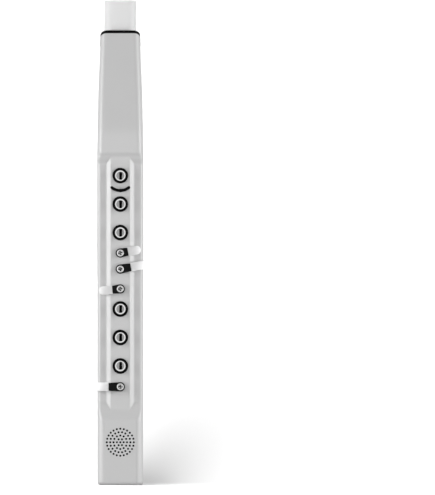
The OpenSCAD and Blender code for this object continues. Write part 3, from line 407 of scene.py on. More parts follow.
def backRaw(z):
    return (alongTable(z, [(0, c["chamferDepth"]), (c["chamferH"], c["blockBack"])])
            + (c["backDepth"] - c["blockBack"]) * ramp(z, c["backStep"], c["backStep"] + c["backStepLen"]))


def backDepth(z):
    return eased(backRaw, z) - 0.6 * baseIn(z)


def shelfDrop(z):
    return c["shelfDrop"] * (ramp(z, deckStart - 3, deckStart + 7) - ramp(z, c["deckEnd"] - 7, c["deckEnd"] + 1))


def cornerRadius(z):
    return (c["blockR"] + (c["shoulderR"] - c["blockR"]) * ramp(z, c["blockTop"], deckStart)
            + (c["headR"] - c["shoulderR"]) * ramp(z, c["deckEnd"] - 2, headStart))


def frontCorner(z, w, low, r, count=14):
    # A quarter round on the deck and the head, and nearly a slanted face on the block
    slant = 1 - ramp(z, c["blockTop"] - c["slantStart"], deckStart)
    rx, ry = r * (1 + c["slantWide"] * slant), r * (1 - c["slantShallow"] * slant)
    power = 1 + c["slantFlat"] * slant
    angles = (pi / 2 * k / count for k in range(count + 1))
    return [(w - rx * (1 - cos(a) ** power), -(low - ry * (1 - sin(a) ** power))) for a in angles]


def mirrored(half):
    return half + [(-x, y) for x, y in reversed(half)]


def frontSection(z, inset=0, seam=0.0, groove=0.0):
    w = halfWidth(z) - inset
    low = frontDepth(z) - shelfDrop(z) - inset
    r = max(min(cornerRadius(z) - inset, low - 0.5), 0.8)
    share = max(0.12, shelfDrop(z) / c["shelfDrop"])
    foot = min(c["deckHalf"] + (c["footHalf"] - c["deckHalf"]) * share - 0.55 * inset,
               w - (1 + c["slantWide"]) * r - 0.4)
    deck = (min(c["deckHalf"] - 0.55 * inset, foot - 0.3), -(frontDepth(z) - inset))
    half = [(w - groove, seam), (w, seam - groove)] if groove else [(w, seam)]
    half += frontCorner(z, w, low, r)
    half += roundedCorner((w - r, -low), (foot, -low), deck, c["footRound"])
    half += roundedCorner((foot, -low), deck, (0, deck[1]), c["deckRound"])
    return mirrored(half)


def backSection(z, inset=0, seam=0.0, groove=0.0):
    w, d = halfWidth(z) - inset, backDepth(z) - inset
    r = max(min(c["backR"], backDepth(z) - 1) - inset, 0.8)
    half = [(w - groove, seam), (w, seam + groove)] if groove else [(w, seam)]
    return mirrored(half + arc(w - r, d - r, r, 0, 90, 16))


def sectionLoft(name, section, heights, *shape):
    return loftRings(name, [[(x, y, z) for x, y in section(z, *shape)] for z in heights])


def evenly(*runs):
    # Heights from a up to b in equal steps, for each run of (a, b, step)
    heights = []
    for a, b, step in runs:
        count = max(1, round((b - a) / step))
        heights += [a + (b - a) * k / count for k in range(count)]
    return heights


levels = ([0, 0.08, 0.3, 0.65, 1.1, 1.7, 2.4] + evenly(
    (3, 10.8, 2.6), (10.8, 13.6, 0.4), (13.6, 58, 7), (58, 84, 0.8), (84, 184, 12), (184, 224, 5), (224, 302, 12),
    (302, 318, 0.7), (318, 329, 3), (329, 343, 1), (343, 400, 9), (400, 447.5, 8)) + [447.5])
innerLevels = ([c["wall"]] + evenly((6, 58, 6), (58, 84, 2), (84, 302, 14), (302, 318, 2), (318, 343, 2.5),
                                    (343, 449, 12)) + [449])


def topSlab(low, high=90):
    # A slab that lies as the sloping top does
    slab = box("slabTool", (-50, -60, low), (50, 60, high))
    return place(slab, shift(0, 0, c["bodyTop"]) @ turn(-c["topSlope"], "X"))


def onDeck(z):
    return shift(0, -c["deckFront"], z) @ turn(90, "X")


def onBack(z):
    return shift(0, c["backDepth"], z) @ turn(-90, "X")


def fromBack(x, z):
    return shift(x, 0, z) @ turn(-90, "X")


# What the shells' holes and the pieces in them share
keys = dict(
    heights=[293.6, 266.6, 239.6, 167.1, 140.1, 113.1], rimD=14.9, domeD=9.9, domeRise=1.7, stemD=8.4,
    rimLift=2.2, rimT=1.4, passGap=0.3, seat=0.7, stemDrop=10.5, flangeR=5.2, flangeT=1.2, rimEdge=0.55,
    flare=0.35)
side = dict(
    names="abcd", heights=[220.2, 205, 186.2, 93.4], way=[1, 1, -1, -1], tilt=[10, 10, -6, 0],
    armReach=[7.4, 10.2, 7.6, 11.1], reach=[19.7, 27.6, 20.4, 27.3], fall=[4.6, 8, 4.6, 8],
    curve=8, crown=0.3, bladeW=8.2, bladeT=1.4, bladeDrop=0.5, armD=8.8, armW=7.4, armT=3.1, armLift=1.9, postD=6,
    headD=6.6, headT=1.3, headSink=0.4, headRound=0.75, headCrown=0.12, highlightRingW=1.2, passGap=0.3, flare=0.3,
    shankHole=2.06, slotLen=3.4, slotHalf=2.35, slotLow=1.95, slotHigh=0.45, tongueLen=3.35, tongueHalf=2.3)
crescent = dict(drop=14.2, r=12.8, band=2.8, angle=39, lift=4.4, thick=1.9, stemD=2.7, stemDrop=10.5,
                flangeOut=0.98, flangeT=1.2, passGap=0.3, flare=0.3)
grille = dict(z=40.8, rings=4, step=3.2, hole=2.0)
screws = dict(x=12, heights=[92, 209, 346], bossR=3.2, bossLow=-4.4, bossHigh=16.3, headR=2.4, sinkR=2.7, sink=4,
              headH=1.8, headRound=0.4, shankR=1.1, shankLen=18, shankHole=1.4, crossLen=1.3, crossHalf=0.3,
              crossDeep=0.8)
rear = dict(
    displayZ=269.7, displayH=53, displayW=26, displayT=1.8, displayR=2, knobZ=309.3, knobD=15, knobT=6.5,
    knobGap=0.3, knobRound=0.9, knobStemR=3, knobStemLen=6.8, shaftD=6, shaftGap=0.3, powerZ=325.5,
    upperZ=230.2, lowerZ=217.2, buttonD=7.2, proud=0.9, buttonRound=0.35, buttonGap=0.06, buttonDish=0.06,
    flare=0.22, plungerR=1.5, flangeOut=0.9, flangeLow=-3.45, flangeTop=-2.25)
door = dict(plate=((-15, 18.8, 15), (15, 21, 65)), edge=0.3, bar=((-7.5, 20.5, 59), (7.5, 22, 60)), bars=5,
            barStep=2.4)
cuts = dict(
    low=-4.2, high=2, phoneR=4.3, phoneX=8, phoneY=-6, usb=((-13, -8.1, -1), (-3, -3.9, 4)),
    door=((-15.3, 16.8, 14.7), (15.3, 22.8, 65.3)), window=((-9, 13.2, 247.2), (9, 19.4, 292.2)),
    loopX=6, loopHalf=1.05, loopLow=(13.2, 186.2), loopHigh=(19.4, 202.6),
    grooveR=2.4, grooveHalf=44, grooveY=18.8, grooveZ=82.5,
    scoop=[(16.4, 82.5), (19.4, 82.5), (19.4, 89), (17.4, 89), (16.4, 84.9)], scoopHalf=6,
    dimpleR=2.4, dimpleFloor=5.8, dimpleAt=(14.6, 14, 14.8))


def grilleTools():
    slant = degrees(atan((c["blockFront"] - c["blockFrontLow"]) / c["blockTop"]))
    tools = []
    for ring in range(grille["rings"] + 1):
        r, count = ring * grille["step"], max(1, 6 * ring)
        for k in range(count):
            a = radians(360 * k / count + (180 / count if ring % 2 else 0))
            x, z = r * sin(a), grille["z"] + r * cos(a)
            tool = drill(grille["hole"] / 2, -4, 1, steps=20)
            tools.append(place(tool, shift(x, -frontDepth(z), z) @ turn(90 - slant, "X")))
    return tools


def makeFrontShell():
    shell = sectionLoft("shellFront", frontSection, levels, 0, 0, c["seamGroove"])
    carve(shell, sectionLoft("cavity", frontSection, innerLevels, c["wall"], 1))
    carve(shell, topSlab(0))
    holes = [(keys, keys["stemD"], z) for z in keys["heights"]]
    holes += [(side, side["postD"], z) for z in side["heights"]]
    holes += [(crescent, crescent["stemD"], keys["heights"][0] - crescent["drop"])]
    tools = [place(drill(d / 2 + piece["passGap"], cuts["low"], cuts["high"], piece["flare"]), onDeck(z))
             for piece, d, z in holes]
    tools += grilleTools()
    tools.append(place(drill(cuts["phoneR"], -1, 4, steps=48), shift(cuts["phoneX"], cuts["phoneY"], 0)))
    tools.append(box("usbTool", *cuts["usb"]))
    carve(shell, joined("holes", tools))
    dress(shell, "shellGrey", "body", "front_shell", 30)
    # The second finish is painted shade, darkening the walls of the grille's holes
    shell.data.materials.append(paint["innerBlackAndHoleShade"])
    reach = (grille["rings"] * grille["step"] + grille["hole"]) * mm
    for poly in shell.data.polygons:  # painted shade: the walls of the grille's holes take the inner black instead of the shell grey
        aside = hypot(poly.center.x, poly.center.z - grille["z"] * mm)
        if aside < reach and poly.center.y < 0 and abs(poly.normal.y) < 0.6:
            poly.material_index = 1


screwPlaces = [(x, z) for z in screws["heights"] for x in (-screws["x"], screws["x"])]


def makeBackShell():
    d = c["backDepth"]
    shell = sectionLoft("shellBack", backSection, levels, 0, 0, c["seamGroove"])
    carve(shell, sectionLoft("cavity", backSection, innerLevels, c["wall"], -1))
    for x, z in screwPlaces:
        boss = drill(screws["bossR"], screws["bossLow"], screws["bossHigh"], steps=32)
        carve(shell, place(boss, fromBack(x, z)), "UNION")
    carve(shell, topSlab(0))
    low, r, shank, rim = d - screws["sink"], screws["sinkR"], screws["shankHole"], 0.25
    profile = [(0, -6), (shank, -6), (shank, low), (r, low), (r, d - rim), (r + rim, d), (r + 1.3, d + 1.05),
               (0, d + 1.05)]
    tools = [place(lathe("sink", profile, 40), fromBack(x, z)) for x, z in screwPlaces]
    r = rear["buttonD"] / 2 + rear["buttonGap"]
    holes = [(rear[at], r, rear["flare"]) for at in ("powerZ", "upperZ", "lowerZ")]
    for z, r, flare in holes + [(rear["knobZ"], rear["shaftD"] / 2 + rear["shaftGap"], 0)]:
        tools.append(place(drill(r, cuts["low"], cuts["high"], flare), onBack(z)))
    tools.append(box("doorTool", *cuts["door"]))
    tools.append(box("windowTool", *cuts["window"]))
    half = cuts["loopHalf"]
    for x in (-cuts["loopX"], cuts["loopX"]):
        tools.append(box("slotTool", (x - half, *cuts["loopLow"]), (x + half, *cuts["loopHigh"])))
    carve(shell, joined("holes", tools))
    groove = drill(cuts["grooveR"], -cuts["grooveHalf"], cuts["grooveHalf"])
    carve(shell, place(groove, shift(0, cuts["grooveY"], cuts["grooveZ"]) @ turn(90, "Y")))
    carve(shell, place(prism("scoop", cuts["scoop"], -cuts["scoopHalf"], cuts["scoopHalf"]), alongX))
    r, floorAt, (x, y, z) = cuts["dimpleR"], cuts["dimpleFloor"], cuts["dimpleAt"]
    for s in (-1, 1):
        dimple = lathe("dimple", [(0, floorAt), (r, floorAt), (r + 0.1, floorAt + 0.15), (r + 0.1, 9),
                                  (0, 9)], 40)
        carve(shell, place(dimple, shift(s * x, y, z) @ turn(90 - 45 * s, "Z") @ turn(90, "Y")))
    dress(shell, "shellGrey", "body", "back_shell", 30)


makeFrontShell()
makeBackShell()
print("shells made")


mouth = dict(
    ringT=2.4, proud=0.2, collarH=3, collarOut=1.3, plugH=3, plugIn=3.12, capW=30.1, capDepth=17.2, capY=7,
    capTop=459.8, capWall=1.5, capR=1.3, toolReach=30, tailW=20, tailDepth=11, tailGap=0.1, tailDrop=18,
    tailLen=22, beakSocketR=5.06, beakSocketAt=19, tubeSocketR=3.25, tubeSocketDeep=6, tipZ=454.8, tipW=15,
    tipT=2.6, tipRound=4, beakW=19, beakDepth=11, beakFoot=6, beakEdge=2.2, footR=5, airD=4, slitHalf=4.65,
    slitThin=0.47, slitIn=1.3)
m = mouth
topRise = tan(radians(c["topSlope"]))
toolLow, toolHigh = c["bodyTop"] - m["toolReach"], c["bodyTop"] + m["toolReach"]


def fullOutline(z, outset):
    return frontSection(z, -outset) + list(reversed(backSection(z, -outset)))[1:-1]


def pillBar(name, w, d, low, high, steps=24):
    return place(prism(name, pillOutline(w, d, steps), low, high), shift(0, m["capY"], 0))


def makeTrimRing():
    w, d = m["tailW"] + m["tailGap"], m["tailDepth"] + m["tailGap"]
    ring = sectionLoft("topTrim", fullOutline, [c["bodyTop"] - 16 + 3 * k for k in range(13)], m["proud"])
    carve(ring, topSlab(0, m["ringT"]), "INTERSECT")
    carve(ring, pillBar("hole", w, d, toolLow, toolHigh))
    soften(ring, 0.35, angle=40)
    dress(ring, "trimBlack", "body", "trim_ring", 40)


def makeCollar():
    out, rim = 2 * m["collarOut"], m["ringT"] + m["collarH"]
    collar = pillBar("collar", m["capW"] + out, m["capDepth"] + out, toolLow, toolHigh, 32)
    carve(collar, topSlab(m["ringT"], rim), "INTERSECT")
    soften(collar, 0.5, angle=40)
    plug = pillBar("plug", m["capW"] - m["plugIn"], m["capDepth"] - m["plugIn"], toolLow, toolHigh, 32)
    carve(plug, topSlab(m["ringT"] + 0.5, rim + m["plugH"]), "INTERSECT")
    carve(collar, plug, "UNION")
    tailLow = c["bodyTop"] - m["capY"] * topRise - m["tailDrop"]
    tail = pillBar("tail", m["tailW"], m["tailDepth"], tailLow, tailLow + m["tailLen"])
    carve(tail, topSlab(m["ringT"] + 1))
    carve(collar, tail, "UNION")
    for r, start, end in ((m["airD"] / 2, c["bodyTop"] - 60, toolHigh),
                          (m["beakSocketR"], tailLow + m["beakSocketAt"], tailLow + 60),
                          (m["tubeSocketR"], tailLow - 1, tailLow + m["tubeSocketDeep"])):
        carve(collar, place(drill(r, start, end), shift(0, m["capY"], 0)))
    dress(collar, "collarPale", "body", "mouthpiece_collar")


def capForm(name, w, d, top, r, low, count=8):
    # A pill section whose outline draws in over the rounded top edge
    turns = [pi / 2 * k / count for k in range(count + 1)]
    stations = [(0, low)] + [(r - r * cos(a), top - r + r * sin(a)) for a in turns]
    return loftRings(name, [[(x, y + m["capY"], z) for x, y in pillOutline(w - 2 * draw, d - 2 * draw, 28)]
                            for draw, z in stations])


def makeCap():
    low, thick = c["bodyTop"] - 20, 2 * m["capWall"]
    cap = capForm("capShell", m["capW"], m["capDepth"], m["capTop"], m["capR"], low)
    carve(cap, capForm("hollow", m["capW"] - thick, m["capDepth"] - thick, m["capTop"] - m["capWall"],
                       0.4, low - 1))
    carve(cap, topSlab(-90, m["ringT"] + m["collarH"] + 0.05))
    soften(cap, 0.3, 2)
    dress(cap, "capFrost", "cap", "mouthpiece_cap", 40)


def makeBeak():
    # A wedge that thins to a lip: flat behind, sloping in front
    half = m["beakDepth"] / 2
    top = (m["ringT"] + m["collarH"] + m["plugH"]) / cos(radians(c["topSlope"])) + 0.5
    beakZ = c["bodyTop"] - (m["capY"] - half) * topRise + top
    footZ = c["bodyTop"] - m["capY"] * topRise + 1
    length, count = m["tipZ"] - beakZ, 26
    rings = []
    for k in range(count + 1):
        up = length * k / count
        w = (m["beakW"] + (m["tipW"] - m["beakW"]) * min(1, up / (length - m["tipRound"]))) / 2
        over = up - (length - m["tipRound"])
        if over > 0:
            w = min(w, sqrt(max(0.0, (m["tipW"] / 2) ** 2 - over * over)))
        face = -half + (2 * half - m["tipT"]) * max(0, up - m["beakFoot"]) / (length - m["beakFoot"])
        depth = half - face
        outline = roundOutline(2 * w, depth, min(m["beakEdge"], depth * 0.42, w * 0.6), 6)
        rings.append([(x, y + m["capY"] + (half + face) / 2, beakZ + up) for x, y in outline])
    beak = loftRings("beak", rings)
    carve(beak, place(drill(m["footR"], footZ + 0.05, beakZ + 1), shift(0, m["capY"], 0)), "UNION")
    carve(beak, place(drill(m["airD"] / 2, footZ - 5, beakZ + 7), shift(0, m["capY"], 0)))
    slitY = m["capY"] + half - m["slitIn"]
    carve(beak, box("slot", (-m["slitHalf"], slitY - m["slitThin"], beakZ + 5),
                    (m["slitHalf"], slitY + m["slitThin"], m["tipZ"] + 1)))
    dress(beak, "beakWhite", "body", "mouthpiece")


makeTrimRing()
makeCollar()
makeCap()
makeBeak()
print("mouthpiece end made")


def makeKeys():
    r, stem, edge = keys["rimD"] / 2, keys["stemD"] / 2, keys["rimEdge"]
    low, lift, top = -keys["stemDrop"], keys["rimLift"], keys["rimLift"] + keys["rimT"]
    floorAt, well = top - keys["seat"], keys["domeD"] / 2 + 0.05
    rimProfile = [(0, low), (keys["flangeR"], low), (keys["flangeR"], low + keys["flangeT"]),
                  (stem, low + keys["flangeT"]), (stem, lift - 0.3), (stem + 0.3, lift)]
    rimProfile += arc(r - edge, lift + edge, edge, -90, 0, 5) + arc(r - edge, top - edge, edge, 0, 90, 5)
    rimProfile += [(well + 0.1, top), (well, top - 0.1), (well, floorAt), (0, floorAt)]
    dr, rise, count = keys["domeD"] / 2, keys["domeRise"], 14
    ball = (dr ** 2 + rise ** 2) / (2 * rise)
    domeProfile = [(0, floorAt), (dr - 0.15, floorAt), (dr, floorAt + 0.15)]
    for x in (dr * (1 - k / count) for k in range(count + 1)):
        domeProfile.append((x, top + rise - ball + sqrt(ball * ball - x * x)))
    for i, z in enumerate(keys["heights"], 1):
        rim = place(lathe(f"keyRim.{i}", rimProfile, 72), onDeck(z))
        dress(rim, "keyBlack", f"key_{i}", f"finger_key_{i}", 40)
        dome = place(lathe(f"keyDome.{i}", domeProfile, 72), onDeck(z))
        dress(dome, "polished", f"key_{i}", f"key_dome_{i}", 40)


def makeCrescent():
    r, half, angle, lift = crescent["r"], crescent["band"] / 2, crescent["angle"], crescent["lift"]
    endX, endY = r * sin(radians(angle)), -r * cos(radians(angle))
    outline = (arc(0, 0, r + half, -90 - angle, -90 + angle, 40)
               + arc(endX, endY, half, -90 + angle, 90 + angle, 12)[1:-1]
               + arc(0, 0, r - half, -90 + angle, -90 - angle, 40)
               + arc(-endX, endY, half, 90 - angle, 270 - angle, 12)[1:-1])
    bar = place(prism("crescentBar", outline, lift - crescent["thick"], lift), shift(0, r, 0))
    soften(bar, 0.55, 4, 45)
    low, stem = -crescent["stemDrop"], crescent["stemD"] / 2
    carve(bar, drill(stem, low, lift - 0.8), "UNION")
    carve(bar, drill(stem + crescent["flangeOut"], low, low + crescent["flangeT"]), "UNION")
    place(bar, onDeck(keys["heights"][0] - crescent["drop"]))
    dress(bar, "keyBlack", "crescent", "crescent_key")


makeKeys()
makeCrescent()
print("finger keys made")


def atSide(i):
    flip = Matrix.Scale(-1, 4, (1, 0, 0)) if side["way"][i] < 0 else Matrix.Identity(4)
    return onDeck(side["heights"][i]) @ flip @ turn(side["tilt"][i], "Z")


def armOutline(reach, r, h):
    # A round hub that runs straight into a square end
    start = degrees(atan2(h, reach) + acos(r / hypot(reach, h)))
    return (arc(0, 0, r, start, 360 - start, 36) + roundedCorner((0, -h), (reach, -h), (reach, h), 0.5, 3)
            + roundedCorner((reach, -h), (reach, h), (0, h), 0.5, 3))


def makeArm(i, name):
    end, lift, top = side["armReach"][i], side["armLift"], side["armLift"] + side["armT"]
    arm = prism(f"armBar.{name}", armOutline(end, side["armD"] / 2, side["armW"] / 2), lift, top)
    soften(arm, 0.25)
    carve(arm, drill(side["headD"] / 2 + 0.06, top - side["headSink"], top + 1))
    carve(arm, drill(side["shankHole"], lift - 1, top + 1))
    carve(arm, box("slot", (end - side["slotLen"], -side["slotHalf"], top - side["slotLow"]),
                   (end + 1, side["slotHalf"], top - side["slotHigh"])))
    place(arm, atSide(i))
    dress(arm, "paintBlack", f"arm_{name}", f"side_arm_{name}")


def makeBlade(i, name):
    # One smooth arc from the arm to a round tip, with a crowned face
    root, w, t = side["armReach"][i], side["bladeW"], side["bladeT"]
    run, fall, curve = side["reach"][i] - root, side["fall"][i], radians(side["curve"])
    top, start = side["armLift"] + side["armT"] - side["bladeDrop"], root + 0.05
    bend = hypot(run, fall) / (2 * sin(curve))
    begin = atan(fall / run) - curve
    hubX, hubZ = start - bend * sin(begin), top - bend * cos(begin)
    count, across = 40, 17
    uppers, lowers = [], []
    for k in range(count + 1):
        x = run * (1 - (1 - k / count) ** 1.6)  # closer together towards the tip
        over = x - (run - w / 2)
        half = w / 2 if over <= 0 else sqrt(max(0.0, (w / 2) ** 2 - over * over))
        px = start + x * (run - 0.05) / run
        crown = side["crown"] * min(1, x / 3)
        for level, r in ((uppers, bend), (lowers, bend - t)):
            pz = hubZ + sqrt(r ** 2 - (px - hubX) ** 2)
            for s in (2 * j / (across - 1) - 1 for j in range(across)):
                level.append((px, half * s, pz - crown * (half / (w / 2) * s) ** 2))
    size, e = (count + 1) * across, across - 1
    faces = []
    for k in range(count):
        a, b = k * across, (k + 1) * across
        for j in range(across - 1):
            faces.append((a + j, a + j + 1, b + j + 1, b + j))
            faces.append((size + a + j, size + b + j, size + b + j + 1, size + a + j + 1))
        faces += [(a, b, size + b, size + a), (a + e, size + a + e, size + b + e, b + e)]
    for j in range(across - 1):
        last = count * across + j
        faces += [(j, size + j, size + j + 1, j + 1), (last, last + 1, size + last + 1, size + last)]
    blade = outward(newMesh(f"paddleBlade.{name}", uppers + lowers, faces), weld=2e-6, clean=1e-6)
    soften(blade, 0.42, 4)
    carve(blade, box("tongue", (root - side["tongueLen"], -side["tongueHalf"], top - t),
                     (root + 0.6, side["tongueHalf"], top - 0.02)), "UNION")
    place(blade, atSide(i))
    dress(blade, "bladeChromeAndScrewHighlight", f"arm_{name}", f"paddle_{name}")


def makeArmScrew(i, name):
    r, t, curl = side["headD"] / 2, side["headT"], side["headRound"]
    low = side["armLift"] + side["armT"] - side["headSink"]
    wall, flat = low + t * 0.42, r - curl
    profile = [(0, low - 5.5), (0.85, low - 5.5), (1, low - 5.2), (1, low), (r - 0.1, low), (r, low + 0.1)]
    profile += [(flat + curl * cos(a), wall + t * 0.58 * sin(a)) for a in (pi / 2 * k / 7 for k in range(8))]
    profile += [(flat * (1 - k / 6), low + t + side["headCrown"] * (1 - (1 - k / 6) ** 2)) for k in range(1, 7)]
    screw = lathe(f"armScrew.{name}", profile, 64)
    for angle in (45, 135):
        taper = ((0.7, 0.28, low + t - 0.95), (1.9, 0.46, low + t), (2.2, 0.5, low + t + 0.6))
        tool = loftRings("cross", [[(-a, -b, z), (a, -b, z), (a, b, z), (-a, b, z)] for a, b, z in taper])
        carve(screw, place(tool, turn(angle, "Z")))
    dress(screw, "screwSteel", f"post_{name}", f"arm_screw_{name}", 32)
    screw.data.materials.append(paint["bladeChromeAndScrewHighlight"])
    for poly in screw.data.polygons:  # painted highlight: the rounded rim of the steel head takes the paler blade finish
        if poly.normal.z > 0.15 and hypot(poly.center.x, poly.center.y) > (r - side["highlightRingW"]) * mm:
            poly.material_index = 1
    place(screw, atSide(i))


for i, name in enumerate(side["names"]):
    makeArm(i, name)
    makeBlade(i, name)
    makeArmScrew(i, name)
print("side keys made")


def makeDisplayPlate():
    outline = roundOutline(rear["displayW"], rear["displayH"], rear["displayR"])
    plate = soften(prism("displayPlate", outline, 0, rear["displayT"]), 0.4)
    place(plate, onBack(rear["displayZ"]))
    dress(plate, "displayBlack", "body", "display_cover")


def makeKnob():
    r, low, edge = rear["knobD"] / 2, rear["knobGap"], rear["knobRound"]
    stem, drop, top = rear["knobStemR"], -rear["knobStemLen"], low + rear["knobT"]
    profile = [(0, drop), (stem, drop), (stem, low), (r - 0.4, low), (r, low + 0.4)]
    profile += arc(r - edge, top - edge, edge, 0, 90, 6) + [(0, top)]
    knob = place(lathe("menuKnob", profile, 96), onBack(rear["knobZ"]))
    dress(knob, "rubberBlack", "knob", "menu_knob")


def makeButtons():
    r, proud, edge, dish = rear["buttonD"] / 2, rear["proud"], rear["buttonRound"], rear["buttonDish"]
    stem, wide, under, over = rear["plungerR"], r + rear["flangeOut"], rear["flangeLow"], rear["flangeTop"]
    for body, node, z in (("power", "power_button", rear["powerZ"]),
                          ("rear_upper", "rear_button_upper", rear["upperZ"]),
                          ("rear_lower", "rear_button_lower", rear["lowerZ"])):
        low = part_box(node)[0][1] / mm - c["backDepth"]
        profile = [(0, low), (stem, low), (stem, under), (wide, under), (wide, over), (r, over)]
        profile += arc(r - edge, proud - edge, edge, 0, 90, 4) + [(r * 0.5, proud - dish), (0, proud - 2 * dish)]
        button = place(lathe(node.replace("_", "") + "Cap", profile, 64), onBack(z))
        dress(button, "rubberBlack", body, node)


def makeDoor():
    plate = soften(box("batteryDoor", *door["plate"]), door["edge"])
    bars = [place(box("bar", *door["bar"]), shift(0, 0, -door["barStep"] * k)) for k in range(door["bars"])]
    carve(plate, joined("bars", bars))
    dress(plate, "shellGrey", "cover", "battery_cover", 32)


def makeCaseScrews():
    low, r, shank, edge = c["backDepth"] - screws["sink"], screws["headR"], screws["shankR"], screws["headRound"]
    top, foot = low + screws["headH"], low - screws["shankLen"]
    long, half = screws["crossLen"], screws["crossHalf"]
    pieces = []
    for x, z in screwPlaces:
        screw = lathe("screw", [(0, foot), (shank, foot), (shank, low), (r, low), (r, top - edge),
                                (r - edge, top), (0, top)], 40)
        for angle in (0, 90):
            cross = box("cross", (-long, -half, top - screws["crossDeep"]), (long, half, top + 1))
            carve(screw, place(cross, turn(angle, "Z")))
        pieces.append(place(screw, fromBack(x, z)))
    dress(joined("caseScrewSet", pieces), "screwSteel", "body", "case_screws", 32)


makeDisplayPlate()
makeKnob()
makeButtons()
makeDoor()
makeCaseScrews()
print("back controls made")


hook = dict(loopZ=194.4, loopH=16.3, loopW=14, loopReach=44.6, loopT=2, loopFoot=5, topZ=195.4, rootZ=170.4,
            reach=44.2, tipZ=161, w=22, forkGap=0.8)
pad = dict(z=147.6, out=10, slope=1.04, w=20, len=12.4, padW=17, travel=0.8, t=2, gap=0.3, round=1.4, stemR=2.5)


def makeLoop():
    # A bent strip with two feet inside the casing, rounded seen from the side
    w, t, reach, h = hook["loopW"] / 2, hook["loopT"], hook["loopReach"], hook["loopH"] / 2
    inner = c["backDepth"] - c["wall"] - 0.05
    leg, foot, centre = inner - t, w + hook["loopFoot"], reach - w
    outline = ([(-foot, leg), (-w + t, leg), (-w + t, inner)] + arc(0, centre, w - t, 180, 0, 36)
               + [(w - t, inner), (w - t, leg), (foot, leg), (foot, inner), (w, inner)]
               + arc(0, centre, w, 0, 180, 44) + [(-w, inner), (-foot, inner)])
    strip = prism("loopStrip", outline, hook["loopZ"] - h, hook["loopZ"] + h)
    form = ([(leg - 1, -h), (reach - h, -h)] + arc(reach - h, 0, h, -90, 90, 40)[1:-1]
            + [(reach - h, h), (leg - 1, h)])
    carve(strip, place(prism("form", form, -30, 30), shift(0, 0, hook["loopZ"]) @ alongX), "INTERSECT")
    soften(strip, 0.4)
    dress(strip, "polished", "body", "strap_loop")


def bezier(a, b, d, count):
    return [tuple((1 - t) ** 2 * p + 2 * t * (1 - t) * q + t * t * r for p, q, r in zip(a, b, d))
            for t in (k / count for k in range(count + 1))]


def makeHook():
    # The outline is in y and z: a convex top, a blunt tip and a hollow underside
    d, tipY, tipZ, topZ, rootZ = c["backDepth"], hook["reach"], hook["tipZ"], hook["topZ"], hook["rootZ"]
    outline = bezier((d, topZ), (d + 5.6, topZ - 0.4), (d + 8.9, topZ - 6.6), 14)
    outline += [(tipY, tipZ + 0.9), (tipY - 0.5, tipZ)]
    outline += bezier((tipY - 1.4, tipZ + 0.6), (tipY - 7.6, rootZ - 1.2), (d + 7.6, rootZ), 20) + [(d, rootZ)]
    rest = place(prism("thumbRest", outline, -hook["w"] / 2, hook["w"] / 2), alongX)
    w, h = hook["loopW"] / 2 + hook["forkGap"], hook["loopH"] / 2 + hook["forkGap"]
    carve(rest, box("fork", (-w, d - 1, hook["loopZ"] - h), (w, d + 39, hook["loopZ"] + 32)))
    soften(rest, 0.6)
    dress(rest, "rubberBlack", "body", "thumb_hook")


def makePad():
    # A plate that presses into the sloping face of its housing
    foot = Vector((c["backDepth"], pad["z"]))
    tip = Vector((c["backDepth"] + pad["out"], pad["z"] - pad["out"] * pad["slope"]))
    along, middle = (tip - foot).normalized(), (foot + tip) / 2
    onPad = shift(0, middle[0], middle[1]) @ turn(-degrees(atan2(-along[1], along[0])), "X")
    below = ((0.2, -3.6), (-3.2, -6.6), (-4, -10), (-4.2, -17.6), (-7.8, -20.6))
    corners = [foot, tip] + [tip + Vector(p) for p in below] + [Vector((c["backDepth"], tip[1] - 21.6))]
    outline = [tuple(foot)]
    for before, corner, after in zip(corners, corners[1:], corners[2:]):
        outline += roundedCorner(before, corner, after, pad["round"], 4)
    outline += [tuple(corners[-1])]
    wedge = soften(place(prism("padWedge", outline, -pad["w"] / 2, pad["w"] / 2), alongX), 0.7)
    sink, x, y = pad["travel"] + 0.05, pad["padW"] / 2 + pad["gap"], pad["len"] / 2 + pad["gap"]
    carve(wedge, place(box("well", (-x, -y, -sink), (x, y, 6)), onPad))
    carve(wedge, place(drill(pad["stemR"] + 0.06, -4.1, 8), onPad))
    dress(wedge, "shellGrey", "body", "pad_housing", 30)
    top = soften(prism("thumbPlate", roundOutline(pad["padW"], pad["len"], 0.8, 5), 0, pad["t"] - sink), 0.35)
    carve(top, drill(pad["stemR"], -3.2, 0.5), "UNION")
    dress(place(top, onPad), "rubberBlack", "pad", "thumb_pad")


makeLoop()
makeHook()
makePad()
print("loop, hook and pad made")


# Nodes of the frame that keep their own shape, by finish
kept = dict(
    innerBlackAndHoleShade=["pressure_sensor", "key_switches", "key_chassis", "battery_tray", "speaker_frame", "encoder"],
    keyBlack=["side_post_" + name for name in side["names"]], tubeClear=["breath_tube"],
    boardGreen=["main_board"], cellJacket=["battery_cells"], conePaper=["speaker_cone"],
    lensGlass=["display_module"], trimBlack=["headphone_socket"], screwSteel=["usb_socket"])
for finish, nodes in kept.items():
    for node in nodes:
        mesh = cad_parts[node].data
        if not mesh.materials:
            mesh.materials.append(paint[finish])
        for k in range(len(mesh.materials)):
            mesh.materials[k] = paint[finish]
print("kept nodes painted:", sum(len(nodes) for nodes in kept.values()))


